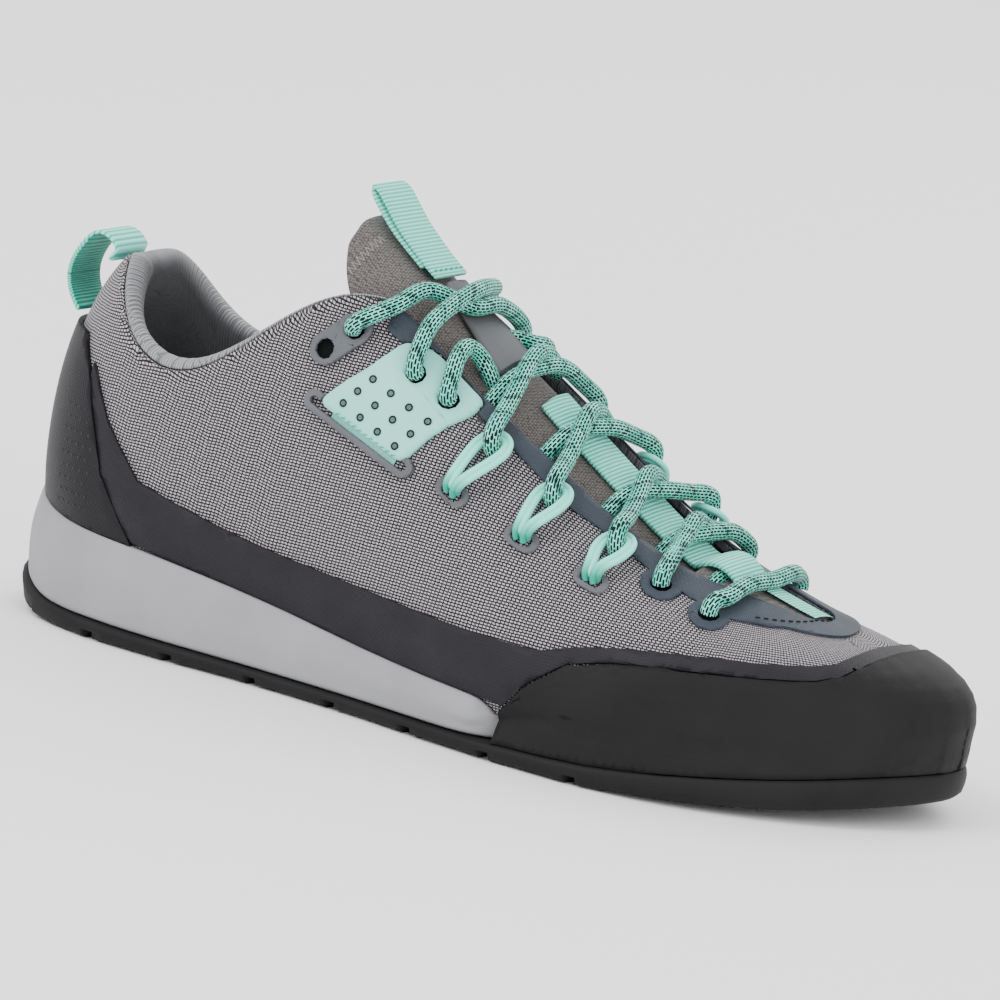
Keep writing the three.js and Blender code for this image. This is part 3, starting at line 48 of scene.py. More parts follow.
def addCamera():
    azimuth, elevation = math.radians(view["azimuth"]), math.radians(view["elevation"])
    back = Vector((math.sin(azimuth) * math.cos(elevation),
                   -math.cos(azimuth) * math.cos(elevation), math.sin(elevation)))
    camera = bpy.data.objects.new("camera", bpy.data.cameras.new("camera"))
    bpy.context.scene.collection.objects.link(camera)
    camera.rotation_mode = "QUATERNION"
    turn = back.to_track_quat("Z", "Y")
    roll = Matrix.Rotation(math.radians(view["roll"]), 3, back)
    camera.rotation_quaternion = (roll @ turn.to_matrix()).to_quaternion()
    camera.location = Vector(view["target"]) + back * view["distance"]
    camera.data.sensor_width = 36
    camera.data.lens = 36 * view["distance"] / (view["millimetresWide"] * mm)
    camera.data.shift_x, camera.data.shift_y = view["shift"]
    camera.data.clip_start, camera.data.clip_end = 0.05, 20
    bpy.context.scene.camera = camera


addCamera()
print("camera placed")


def newPiece(name, bm, *nodes):
    mesh = bpy.data.meshes.new(name)
    bm.to_mesh(mesh)
    bm.free()
    piece = bpy.data.objects.new(name, mesh)
    bpy.context.scene.collection.objects.link(piece)
    if nodes:
        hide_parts(*nodes)
    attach(piece, "root")
    return piece


def nodeMesh(node):
    # the CAD node's mesh with its doubled corners merged
    bm = bmesh.new()
    bm.from_mesh(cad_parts[node].data)
    bmesh.ops.remove_doubles(bm, verts=bm.verts, dist=0.02 * mm)
    bmesh.ops.dissolve_degenerate(bm, dist=0.01 * mm, edges=bm.edges)
    return bm


def shadeSmooth(piece, angle):
    piece.data.shade_smooth()
    piece.data.set_sharp_from_angle(angle=math.radians(angle))


def softCopy(node, name, creaseAngle, crease, levels):
    # rounded by subdivision, with its sharp edges creased
    bm = nodeMesh(node)
    bmesh.ops.join_triangles(bm, faces=bm.faces, angle_face_threshold=math.radians(40),
                             angle_shape_threshold=math.radians(60))
    layer = bm.edges.layers.float.new("crease_edge")
    for edge in bm.edges:
        if edge.calc_face_angle(0) > math.radians(creaseAngle):
            edge[layer] = crease
    piece = newPiece(name, bm, node)
    surface = piece.modifiers.new("soft", "SUBSURF")
    surface.levels = surface.render_levels = levels
    applyModifiers(piece)
    shadeSmooth(piece, 60)
    return piece


def applyModifiers(piece):
    shown = piece.evaluated_get(bpy.context.evaluated_depsgraph_get())
    made = bpy.data.meshes.new_from_object(shown)
    piece.modifiers.clear()
    old = piece.data
    piece.data = made
    bpy.data.meshes.remove(old)


def treeOf(piece):
    bm = bmesh.new()
    bm.from_mesh(piece.data)
    tree = BVHTree.FromBMesh(bm)
    bm.free()
    return tree


def cutFine(bm, longest):
    # short edges everywhere, so that a piece can follow a curved surface
    for step in range(7):
        edges = [edge for edge in bm.edges if edge.calc_length() > longest]
        if not edges:
            break
        bmesh.ops.subdivide_edges(bm, edges=edges, cuts=1, use_grid_fill=True)
        bmesh.ops.triangulate(bm, faces=[face for face in bm.faces if len(face.verts) > 3])


def followCopy(node, name, longest):
    # moved from the faceted CAD upper to the smooth one, with its height kept
    bm = nodeMesh(node)
    cutFine(bm, longest * mm)
    for vert in bm.verts:
        spot, normal, index, gap = facetTree.find_nearest(vert.co)
        smooth, smoothNormal, index, gap = smoothTree.find_nearest(spot)
        if smoothNormal.dot(normal) < 0.5:
            continue
        height = (vert.co - spot).dot(normal)
        aside = vert.co - spot - height * normal
        vert.co = smooth + smoothNormal * height + aside
    piece = newPiece(name, bm, node)
    shadeSmooth(piece, 40)
    return piece


# Upper: knitted cloth, one piece from the heel round the toe
facetBm = nodeMesh("upper")
facetTree = BVHTree.FromBMesh(facetBm)
facetBm.free()
upper = softCopy("upper", "upper_cloth", 55, 0.85, 2)
smoothTree = treeOf(upper)
print("upper made")

# Pieces rounded as they are: name, crease angle in degrees, crease and subdivision levels
soft = {
    "outsole": ("rubber_outsole", 45, 1.0, 1), "midsole": ("foam_midsole", 45, 0.85, 2),
    "insole": ("cloth_insole", 60, 0.4, 1), "tongue": ("cloth_tongue", 70, 0.3, 2),
    "collar_lining": ("collar_roll", 70, 0.3, 2),
    "tongue_webbing": ("webbing_tongue", 50, 0.8, 2), "lace_keeper": ("plate_keeper", 50, 0.8, 2),
    "tongue_loop": ("webbing_loop_tongue", 50, 0.8, 2),
    "heel_loop": ("webbing_loop_heel", 50, 0.8, 2),
}
pieces = {"upper": upper}
for node, (name, creaseAngle, crease, levels) in soft.items():
    pieces[node] = softCopy(node, name, creaseAngle, crease, levels)

# Pieces that lie on the upper: name and longest edge in millimetres
follow = {"toe_rand": ("rubber_rand", 3.0), "side_film": ("film_side", 3.4),
          "heel_counter": ("film_counter", 3.0), "eyestay": ("film_eyestay", 2.4)}
for side in ("outer", "inner"):
    follow[f"panel_{side}"] = (f"panel_cover_{side}", 2.0)
    follow[f"slot_frame_{side}"] = (f"frame_slot_{side}", 1.6)
    follow[f"eyelet_plate_{side}"] = (f"plate_eyelet_{side}", 1.6)
    for number in (1, 2, 3):
        follow[f"port_{side}_{number}"] = (f"frame_port_{side}_{number}", 1.0)
for node, (name, longest) in follow.items():
    pieces[node] = followCopy(node, name, longest)
print("soles, films and plates made")

# Laces and cord loops: the middle line of each CAD strand, and a round braid along it


# Tracing: length and most number of steps, how round a flat end is, which walls count and how
# near the line keeps to them, all in shares of the strand's radius, and the cone it looks into
tracing = {"step": 1.0 * mm, "most": 240, "roundness": (0.85, 1.15), "wallReach": 1.5,
           "wallFacing": 0.6, "wallGap": 0.96, "correction": 0.7,
           "cone": ((1, 0), (8, 0.5), (8, 1.0)), "farthest": 4}


def strandLines(node, radius):
    # starts at the flat ends of the strand and steps along inside it
    bm = nodeMesh(node)
    tree = BVHTree.FromBMesh(bm)
    bmesh.ops.dissolve_limit(bm, angle_limit=math.radians(2), verts=bm.verts, edges=bm.edges)
    ends = []
    for face in bm.faces:
        centre = face.calc_center_median()
        reach = [(vert.co - centre).length / radius for vert in face.verts]
        least, most = tracing["roundness"]
        if len(reach) > 5 and min(reach) > least and max(reach) < most:
            ends.append((centre, -face.normal.copy()))
    bm.free()
    lines = []
    used = []
    for start, ahead in ends:
        if any((start - other).length < radius for other in used):
            continue
        line = stepAlong(tree, start, ahead, radius, [end for end, inward in ends])
        used += [line[0], line[-1]]
        lines.append(line)
    return lines


def steer(tree, spot, direction, radius):
    # leans towards the open part of the strand
    side = direction.orthogonal().normalized()
    other = direction.cross(side)
    pull = Vector()
    farthest = tracing["farthest"] * radius
    for count, lean in tracing["cone"]:
        for turn in range(count):
            angle = 2 * math.pi * turn / count
            out = side * math.cos(angle) + other * math.sin(angle)
            ray = direction * math.cos(lean) + out * math.sin(lean)
            wall, normal, index, reach = tree.ray_cast(spot, ray)
            pull += ray * min(reach or farthest, farthest) ** 2
    return (direction + pull.normalized()).normalized()


def stepAlong(tree, start, ahead, radius, ends):
    step = tracing["step"]
    line = [start.copy()]
    spot, direction = start + ahead * step, ahead.copy()
    for count in range(tracing["most"]):
        direction = steer(tree, spot, direction, radius)
        side = direction.orthogonal().normalized()
        other = direction.cross(side)
        shift = Vector()
        for turn in range(8):
            out = side * math.cos(turn * math.pi / 4) + other * math.sin(turn * math.pi / 4)
            wall, normal, index, reach = tree.ray_cast(spot, out)
            if (wall is not None and reach < tracing["wallReach"] * radius
                    and abs(normal.dot(out)) > tracing["wallFacing"]):
                shift += out * (reach - tracing["wallGap"] * radius) / 4
        spot = spot + shift * tracing["correction"]
        line.append(spot.copy())
        close = [end for end in ends if (end - spot).length < 1.5 * step
                 and (end - start).length > radius]
        if close:
            line.append(close[0].copy())
            break
        spot = spot + direction * step
    return line


def evenLine(line, count):
    # smoothed and divided evenly
    for step in range(2):
        between = [(a + 2 * b + c) / 4 for a, b, c in zip(line, line[1:], line[2:])]
        line = [line[0]] + between + [line[-1]]
    lengths = [0]
    for a, b in zip(line, line[1:]):
        lengths.append(lengths[-1] + (b - a).length)
    result = []
    at = 0
    for k in range(count + 1):
        target = lengths[-1] * k / count
        while at < len(line) - 2 and lengths[at + 1] < target:
            at += 1
        span = max(lengths[at + 1] - lengths[at], 1e-9)
        result.append(line[at].lerp(line[at + 1], (target - lengths[at]) / span))
    return result, lengths[-1]


# Place on the braid's map that is plain yarn, for the cut ends
capPlace = (3, 0)


def braidTube(bm, line, radius, around, spacing):
    # rings carried along the line; the map holds the real length and girth
    length = sum((b - a).length for a, b in zip(line, line[1:]))
    line, length = evenLine(line, max(6, round(length / spacing)))
    mapLayer = bm.loops.layers.uv.get("braid") or bm.loops.layers.uv.new("braid")
    side = None
    before = None
    for k, spot in enumerate(line):
        ahead = (line[min(k + 1, len(line) - 1)] - line[max(k - 1, 0)]).normalized()
        if side is None:
            side = ahead.cross(Vector((0, 0, 1))).normalized()
        side = (side - ahead * side.dot(ahead)).normalized()
        other = ahead.cross(side)
        ring = bmesh.ops.create_circle(bm, segments=around, radius=radius)["verts"]
        turn = Matrix((side, other, ahead)).transposed().to_4x4()
        bmesh.ops.transform(bm, matrix=Matrix.Translation(spot) @ turn, verts=ring)
        if before:
            for j in range(around):
                following = (j + 1) % around
                face = bm.faces.new((before[j], before[following], ring[following], ring[j]))
                places = ((k - 1, j), (k - 1, j + 1), (k, j + 1), (k, j))
                for loop, (row, column) in zip(face.loops, places):
                    loop[mapLayer].uv = (row * length / (len(line) - 1) / mm,
                                         column / around * 2 * math.pi * radius / mm)
        else:
            caps = [bm.faces.new(list(reversed(ring)))]
        before = ring
    caps.append(bm.faces.new(before))
    for face in caps:
        for loop in face.loops:
            loop[mapLayer].uv = capPlace


laces = {"diameter": 4.4 * mm, "around": 20, "spacing": 1.1 * mm, "tuck": 4.0 * mm,
         "drop": 2.2 * mm, "nearTongue": 4.5 * mm,
         "throughLoops": ["lace_crossing_3", "lace_crossing_4", "lace_crossing_5"],
         "nodes": ["lace_bar", "lace_keeper_outer", "lace_keeper_inner"]
         + [f"lace_crossing_{number}" for number in (1, 2, 3, 4, 5, 7)]}
loops = {"diameter": 2.2 * mm, "thin": 0.82 * mm, "apart": 0.72 * mm, "around": 10,
         "spacing": 0.8 * mm, "steps": 36,
         "nodes": [f"cord_loop_{side}_{number}" for side in ("outer", "inner")
                   for number in (1, 2, 3)]}
tongueTree = treeOf(pieces["tongue"])
lacedHoles = []


def tuckEnd(line, node):
    # an end over the tongue runs on under the edge of the upper; the others end in a hole
    spot, before = line[-1], line[-5]
    ahead = (spot - before).normalized()
    below, normal, index, gap = tongueTree.find_nearest(spot)
    if gap < laces["nearTongue"]:
        line.append(spot + ahead * laces["tuck"] / 2 - normal * laces["drop"] * 0.4)
        line.append(spot + ahead * laces["tuck"] - normal * laces["drop"])
    elif node not in laces["throughLoops"]:
        lacedHoles.append(spot.copy())


def braidPiece(node):
    radius = laces["diameter"] / 2
    bm = bmesh.new()
    for line in strandLines(node, radius):
        tuckEnd(line, node)
        line.reverse()
        tuckEnd(line, node)
        braidTube(bm, line, radius, laces["around"], laces["spacing"])
    bmesh.ops.recalc_face_normals(bm, faces=bm.faces)
    piece = newPiece(node.replace("lace_", "braid_"), bm, node)
    shadeSmooth(piece, 60)
    return piece


for node in laces["nodes"]:
    pieces[node] = braidPiece(node)


def cordPiece(node):
    # two thin cords side by side, bound together at the foot of the loop
    bm = bmesh.new()
    steps = loops["steps"]
    line = evenLine(strandLines(node, loops["diameter"] / 2)[0], steps)[0]
    foot = (line[0] + line[-1]) / 2
    tip = line[len(line) // 2]
    facing = smoothTree.find_nearest((foot + tip) / 2)[1]
    for hand in (-1, 1):
        moved = []
        for k, spot in enumerate(line):
            ahead = (line[min(k + 1, steps)] - line[max(k - 1, 0)]).normalized()
            moved.append(spot + facing.cross(ahead).normalized() * hand * loops["apart"])
        braidTube(bm, moved, loops["thin"], loops["around"], loops["spacing"])
    bmesh.ops.recalc_face_normals(bm, faces=bm.faces)
    piece = newPiece(node.replace("cord_loop", "cord_eye"), bm, node)
    shadeSmooth(piece, 60)
    # distance from the nearer foot, for the darker colour there
    whole = max(place.uv[0] for place in piece.data.uv_layers["braid"].data)
    feet = piece.data.uv_layers.new(name="foot").data
    places = piece.data.uv_layers["braid"].data
    for loop in piece.data.loops:
        along = places[loop.index].uv[0]
        feet[loop.index].uv = (min(along, whole - along), 0)
    return piece


for node in loops["nodes"]:
    pieces[node] = cordPiece(node)
print("laces made")

# Each side's direction across the foot, and how far forward its fittings lie, in millimetres
hands = {"outer": -1, "inner": 1}
advances = {-1: 0, 1: 1.5}


def extraPiece(name, bm, angle=60):
    # a piece that the solids don't have
    piece = newPiece(name, bm)
    shadeSmooth(piece, angle)
    return piece


def standOn(direction):
    return direction.to_track_quat("Z", "Y").to_matrix().to_4x4()


# Small round holes in the two panels, in rows that lean with the panel's edges
holes = {"first": (72.5, 82.5), "along": (5.4, -2.4), "down": (-3.05, -3.6),
         "counts": (4, 4, 4, 1), "radius": 1.05 * mm, "core": 0.6 * mm, "rim": 0.3 * mm,
         "rimHeight": 0.2 * mm, "crestShare": 0.86, "innerShare": 0.88}


def addDisc(bm, spot, turn, radius, lift):
    made = bmesh.ops.create_cone(bm, cap_ends=True, segments=20, radius1=radius, radius2=radius,
                                 depth=0.1 * mm)["verts"]
    bmesh.ops.transform(bm, matrix=Matrix.Translation(spot) @ turn
                        @ Matrix.Translation((0, 0, lift)), verts=made)


def vertsOf(geometry):
    return [item for item in geometry if isinstance(item, bmesh.types.BMVert)]


def addRim(bm, spot, turn, radius):
    # a low ring of the panel's own material, raised where the hole was punched
    ring = bmesh.ops.create_circle(bm, segments=20, radius=radius)["verts"]
    edges = list(dict.fromkeys(edge for vert in ring for edge in vert.link_edges))
    grown = bmesh.ops.extrude_edge_only(bm, edges=edges)["geom"]
    crest = vertsOf(grown)
    bmesh.ops.scale(bm, vec=(holes["crestShare"], holes["crestShare"], 1), verts=crest)
    bmesh.ops.translate(bm, vec=(0, 0, holes["rimHeight"]), verts=crest)
    again = bmesh.ops.extrude_edge_only(bm, edges=[
        item for item in grown if isinstance(item, bmesh.types.BMEdge)
        and all(vert in crest for vert in item.verts)])["geom"]
    last = vertsOf(again)
    bmesh.ops.scale(bm, vec=(holes["innerShare"], holes["innerShare"], 1), verts=last)
    bmesh.ops.translate(bm, vec=(0, 0, -holes["rimHeight"]), verts=last)
    bmesh.ops.transform(bm, matrix=Matrix.Translation(spot) @ turn, verts=ring + crest + last)


def sortMesh(bm):
    # the extruded rings come in another order on each run, so they are put in order of place
    for items, place in ((bm.verts, lambda vert: vert.co[:]),
                         (bm.edges, lambda edge: (edge.verts[0].co + edge.verts[1].co)[:]),
                         (bm.faces, lambda face: face.calc_center_bounds()[:])):
        ranks = {item: rank for rank, item in enumerate(sorted(items, key=place))}
        items.sort(key=ranks.get)


def addHoles(side):
    tree = treeOf(pieces[f"panel_{side}"])
    hand = hands[side]
    made = {kind: bmesh.new() for kind in ("holes", "cores", "rims")}
    for row, count in enumerate(holes["counts"]):
        for column in range(count):
            x, z = [holes["first"][i] + column * holes["along"][i] + row * holes["down"][i]
                    for i in (0, 1)]
            outside = Vector(((x + advances[hand]) * mm, hand * 0.1, z * mm))
            spot, normal, index, gap = tree.ray_cast(outside, Vector((0, -hand, 0)))
            if spot is None:
                continue
            turn = standOn(normal)
            addDisc(made["holes"], spot, turn, holes["radius"], 0.02 * mm)
            addDisc(made["cores"], spot, turn, holes["core"], 0.05 * mm)
            addRim(made["rims"], spot, turn, holes["radius"] + holes["rim"])
    sortMesh(made["rims"])
    bmesh.ops.recalc_face_normals(made["rims"], faces=made["rims"].faces)
    for kind, bm in made.items():
        pieces[f"{kind}_{side}"] = extraPiece(f"panel_{kind}_{side}", bm, 70)


for side in hands:
    addHoles(side)
print("panel holes made")

# Shade in the laced eyelets, and in the empty one at the top of each plate
eyelets = {"radius": 3.1 * mm, "empty": 2.5 * mm, "emptyPlace": (0.0572, 0.0282, 0.0866),
           "offSurface": 0.5 * mm, "lift": 0.06 * mm}
shades = bmesh.new()
emptyX, emptyY, emptyZ = eyelets["emptyPlace"]
emptyHoles = [Vector((emptyX + advances[hand] * mm, hand * emptyY, emptyZ))
              for hand in hands.values()]
for places, radius in ((lacedHoles, eyelets["radius"]), (emptyHoles, eyelets["empty"])):
    for place in places:
        spot, normal, index, gap = smoothTree.find_nearest(place)
        if (place - spot).cross(normal).length < eyelets["offSurface"]:
            addDisc(shades, spot, standOn(normal), radius, eyelets["lift"])
pieces["shades"] = newPiece("eyelet_shades", shades)

# Seams: a row of thread bars laid on a piece, straight or zigzag; points in millimetres
seams = {
    "eyestay": {"on": "eyestay", "pitch": 1.1, "swing": 0, "radius": 0.22, "path": [
        (178, -15.2, 45), (181.5, -13.2, 45), (184.6, -10.4, 45), (186.9, -7, 45),
        (188.3, -3.5, 45), (188.8, 0, 45), (188.3, 3.5, 45), (186.9, 7, 45), (184.6, 10.4, 45),
        (181.5, 13.2, 45), (178, 15.2, 45)]},
    "tongue_outer": {"on": "tongue", "pitch": 0.8, "swing": 1.1, "radius": 0.17, "path": [
        (54.8, -16.8, 104.6), (56.3, -15.5, 107.6), (57, -12.6, 111.3), (58, -8.4, 113.2)]},
    "tongue_inner": {"on": "tongue", "pitch": 0.8, "swing": 1.1, "radius": 0.17, "path": [
        (54.8, 16.8, 104.6), (56.3, 15.5, 107.6), (57, 12.6, 111.3), (58, 8.4, 113.2)]},
    "loop": {"on": "tongue_loop", "pitch": 1.3, "swing": 0.15, "radius": 0.24, "path": [
        (73.1, -7.2, 108), (73.3, 7.2, 108)]},
    "panel_outer": {"on": "panel_outer", "pitch": 0.9, "swing": 0.25, "radius": 0.17, "path": [
        (65.2, -32.4, 72.6), (84, -32.9, 65.3)]},
    "panel_inner": {"on": "panel_inner", "pitch": 0.9, "swing": 0.25, "radius": 0.17, "path": [
        (66.7, 32.4, 72.6), (85.5, 32.9, 65.3)]},
}


def addBar(bm, start, end, radius):
    turn = standOn(end - start)
    made = bmesh.ops.create_cone(bm, cap_ends=True, segments=8, radius1=radius, radius2=radius,
                                 depth=(end - start).length)["verts"]
    bmesh.ops.transform(bm, matrix=Matrix.Translation((start + end) / 2) @ turn, verts=made)


def addSeam(name, seam):
    tree = treeOf(pieces[seam["on"]])
    path = [Vector(point) * mm for point in seam["path"]]
    length = sum((b - a).length for a, b in zip(path, path[1:]))
    line = evenLine(path, max(4, round(length / mm / seam["pitch"])))[0]
    spots = []
    for k, point in enumerate(line):
        ahead = (line[min(k + 1, len(line) - 1)] - line[max(k - 1, 0)]).normalized()
        spot, normal, index, gap = tree.find_nearest(point)
        aside = normal.cross(ahead).normalized() * (1 if k % 2 else -1) * seam["swing"] * mm
        spots.append(spot + aside + normal * seam["radius"] * 0.4 * mm)
    bm = bmesh.new()
    for k in range(0, len(spots) - 1, 1 if seam["swing"] > 0.5 else 2):
        addBar(bm, spots[k], spots[k + 1], seam["radius"] * mm)
    pieces[f"seam_{name}"] = extraPiece(f"seam_{name}", bm)


for name, seam in seams.items():
    addSeam(name, seam)
print("seams made")

# Cloth and webbing under the front end of the throat
front = {"x": (158, 190), "half": 12.5, "beside": 16, "crown": 3.3, "below": 1.5,
         "webbing": (168, 187.5, -1, 9.5), "webbingLift": 1.2}


def frontSheet(name, node, x0, x1, y0, y1, lift):
    # lies at an even depth under the upper, arched between its two sides
    bm = bmesh.new()
    bmesh.ops.create_grid(bm, x_segments=24, y_segments=12, size=0.5)
    for vert in bm.verts:
        x, y = x0 + (vert.co.x + 0.5) * (x1 - x0), y0 + (vert.co.y + 0.5) * (y1 - y0)
        tops = [smoothTree.ray_cast(Vector((x, hand * front["beside"], 200)) * mm,
                                    Vector((0, 0, -1)))[0].z / mm for hand in (-1, 1)]
        arch = front["crown"] * (1 - (y / front["beside"]) ** 2)
        z = sum(tops) / 2 + arch - front["below"] + lift
        vert.co = Vector((x, y, z)) * mm
    return extraPiece(name, bm)


pieces["front_cloth"] = frontSheet("cloth_tongue_front", "tongue", *front["x"], -front["half"],
                                   front["half"], 0)
pieces["front_webbing"] = frontSheet("webbing_front", "tongue_webbing", *front["webbing"],
                                     front["webbingLift"])

# Heel strip: a narrow tape up the middle of the back
strip = {"half": 1.1, "z": (33, 85), "lift": 0.25}


def addStrip():
    bm = bmesh.new()
    bmesh.ops.create_grid(bm, x_segments=4, y_segments=30, size=0.5)
    trees = [treeOf(pieces[node]) for node in ("heel_counter", "upper")]
    for vert in bm.verts:
        y = vert.co.x * 2 * strip["half"]
        z = strip["z"][0] + (vert.co.y + 0.5) * (strip["z"][1] - strip["z"][0])
        hits = [tree.ray_cast(Vector((-80, y, z)) * mm, Vector((1, 0, 0)))[0] for tree in trees]
        x = min(hit.x for hit in hits if hit is not None) / mm
        lift = strip["lift"] if abs(y) < strip["half"] * 0.9 else 0
        vert.co = Vector((x - lift, y, z)) * mm
    pieces["strip"] = extraPiece("tape_heel", bm)


addStrip()

# Raised dots on both flanks of the heel counter, in staggered rows; angles from straight back
dots = {"angle": (58, 5.4), "z": (32, 3.1), "rows": 9, "columns": 5, "radius": 0.6 * mm,
        "crest": 0.3 * mm, "height": 0.3 * mm}


def addDots():
    tree = treeOf(pieces["heel_counter"])
    bm = bmesh.new()
    for hand in (-1, 1):
        for row in range(dots["rows"]):
            for column in range(dots["columns"]):
                degrees = dots["angle"][0] + dots["angle"][1] * (column + row % 2 / 2)
                turn = math.radians(degrees)
                out = Vector((-math.cos(turn), hand * math.sin(turn), 0))
                centre = Vector((0, 0, (dots["z"][0] + dots["z"][1] * row) * mm))
                spot, normal, index, gap = tree.ray_cast(centre + out * 0.1, -out)
                if spot is None:
                    continue
                made = bmesh.ops.create_cone(bm, cap_ends=True, segments=10,
                                             radius1=dots["radius"], radius2=dots["crest"],
                                             depth=dots["height"])["verts"]
                bmesh.ops.transform(bm, matrix=Matrix.Translation(spot) @ standOn(normal),
                                    verts=made)
    pieces["dots"] = extraPiece("counter_dots", bm)


addDots()

# Lower hem of each panel, which runs down into its slot
hem = {"start": (64.2, 73.2), "end": (83.8, 65.6), "rise": 0.6, "reach": 2.6,
       "lifts": (0.75, 0.1)}


def addHem(side):
    hand = hands[side]
    start, end = Vector(hem["start"]), Vector(hem["end"])
    along = (end - start).normalized()
    down = Vector((along.y, -along.x))
    bm = bmesh.new()
    bmesh.ops.create_grid(bm, x_segments=24, y_segments=4, size=0.5)
    for vert in bm.verts:
        share = vert.co.y + 0.5
        drop = share * (hem["rise"] + hem["reach"]) - hem["rise"]
        place = start.lerp(end, vert.co.x + 0.5) + down * drop
        spot, normal, index, gap = smoothTree.ray_cast(
            Vector((place.x + advances[hand], hand * 100, place.y)) * mm, Vector((0, -hand, 0)))
        lift = hem["lifts"][0] * (1 - share) + hem["lifts"][1] * share
        vert.co = spot + normal * lift * mm
    pieces[f"hem_{side}"] = extraPiece(f"panel_hem_{side}", bm)


for side in hands:
    addHem(side)
print("front cloth, heel tape, dots and panel hems made")

# Colours and nodes


def toLinear(text):
    parts = [int(text[i:i + 2], 16) / 255 for i in (1, 3, 5)]
    return [p / 12.92 if p <= 0.04045 else ((p + 0.055) / 1.055) ** 2.4 for p in parts] + [1]


def addNode(material, kind, settings=None, **links):
    # settings are properties, or inputs where the name is one; links are sockets
    node = material.node_tree.nodes.new(kind)
    for key, value in (settings or {}).items():
        if hasattr(node, str(key)):
            setattr(node, key, value)
        else:
            node.inputs[key].default_value = value
    for key, source in links.items():
        numbered = key[0] == "i" and key[1:].isdigit()
        target = node.inputs[int(key[1:]) if numbered else key.replace("_", " ")]
        material.node_tree.links.new(source, target)
    return node


def newMaterial(name, colour, roughness, **settings):
    material = bpy.data.materials.new(name)
    material.use_nodes = True
    shader = material.node_tree.nodes["Principled BSDF"]
    shader.inputs["Base Color"].default_value = toLinear(colour)
    shader.inputs["Roughness"].default_value = roughness
    shader.inputs["Specular IOR Level"].default_value = 0.15
    for key, value in settings.items():
        shader.inputs[key.replace("_", " ")].default_value = value
    return material, shader


def join(material, source, shader, socket):
    material.node_tree.links.new(source, shader.inputs[socket])


def ramp(material, factor, stops):
    node = addNode(material, "ShaderNodeValToRGB", None, i0=factor)
    elements = node.color_ramp.elements
    while len(elements) < len(stops):
        elements.new(0.5)
    for element, (place, colour) in zip(elements, stops):
        element.position = place
        element.color = toLinear(colour)
    return node


def bump(material, height, shader, distance, strength=1.0):
    node = addNode(material, "ShaderNodeBump", {"Distance": distance, "Strength": strength},
                   Height=height)
    join(material, node.outputs[0], shader, "Normal")


def objectPlace(material):
    return addNode(material, "ShaderNodeTexCoord").outputs["Object"]


# Map of the upper: length round the foot, and length up over it, in millimetres
knitMap = {"heelRadius": 0.030, "toeCentre": 0.170, "toeRadius": 0.042, "axisHeight": 0.018,
           "stations": 60, "angles": 48, "start": -0.05, "length": 0.30, "rays": 0.3}


def placeRound(co):
    # length along the foot on each side, and round the heel and the toe
    if co.x < 0:
        return -knitMap["heelRadius"] * (math.pi / 2 - abs(math.atan2(co.y, -co.x)))
    if co.x > knitMap["toeCentre"]:
        angle = math.atan2(abs(co.y), co.x - knitMap["toeCentre"])
        return knitMap["toeCentre"] + knitMap["toeRadius"] * (math.pi / 2 - angle)
    return co.x


def awayFromAxis(co):
    # level distance from the foot's middle line, or from the centres of heel and toe
    if co.x < 0:
        return math.hypot(co.x, co.y)
    if co.x > knitMap["toeCentre"]:
        return math.hypot(co.x - knitMap["toeCentre"], co.y)
    return abs(co.y)


def heightTable(tree):
    # length over the surface from the axis height up, at each station and angle
    table = {}
    for side in (-1, 1):
        for k in range(knitMap["stations"] + 1):
            around = knitMap["start"] + knitMap["length"] * k / knitMap["stations"]
            if around < 0:
                angle = math.pi / 2 + around / knitMap["heelRadius"]
                out = Vector((-math.cos(angle), side * math.sin(angle), 0))
                centre = Vector((0, 0, knitMap["axisHeight"]))
            elif around > knitMap["toeCentre"]:
                angle = math.pi / 2 - (around - knitMap["toeCentre"]) / knitMap["toeRadius"]
                out = Vector((math.cos(angle), side * math.sin(angle), 0))
                centre = Vector((knitMap["toeCentre"], 0, knitMap["axisHeight"]))
            else:
                out = Vector((0, side, 0))
                centre = Vector((around, 0, knitMap["axisHeight"]))
            row, length, last = [], 0.0, None
            for j in range(knitMap["angles"] + 1):
                lift = math.pi / 2 * j / knitMap["angles"]
                ray = out * math.cos(lift) + Vector((0, 0, math.sin(lift)))
                hit = tree.ray_cast(centre + ray * knitMap["rays"], -ray, knitMap["rays"])[0]
                if hit is not None and last is not None:
                    length += (hit - last).length
                if hit is not None:
                    last = hit
                row.append(length)
            table[side, k] = row
    return table


def mapKnit(piece, table):
    layer = piece.data.uv_layers.new(name="knit")
    stations, angles = knitMap["stations"], knitMap["angles"]
    for loop in piece.data.loops:
        co = piece.data.vertices[loop.vertex_index].co
        around = placeRound(co)
        side = -1 if co.y < 0 else 1
        lift = math.atan2(co.z - knitMap["axisHeight"], max(awayFromAxis(co), 1e-6))
        k = (around - knitMap["start"]) / knitMap["length"] * stations
        k = min(max(k, 0), stations - 0.001)
        j = min(max(lift / (math.pi / 2), 0) * angles, angles - 0.001)
        ki, ji = int(k), int(j)
        low = table[side, ki][ji] * (1 - (j - ji)) + table[side, ki][ji + 1] * (j - ji)
        high = table[side, ki + 1][ji] * (1 - (j - ji)) + table[side, ki + 1][ji + 1] * (j - ji)
        height = low * (1 - (k - ki)) + high * (k - ki)
        if lift < 0:
            height = co.z - knitMap["axisHeight"]
        layer.data[loop.index].uv = (around / mm, height / mm)


# Lean of each webbing in degrees; the heel loop goes round a centre instead
leans = {"tongue_webbing": 33, "front_webbing": 20, "tongue_loop": 52}
heelBend = {"x": -0.0255, "z": 0.0855, "radius": 0.0085}


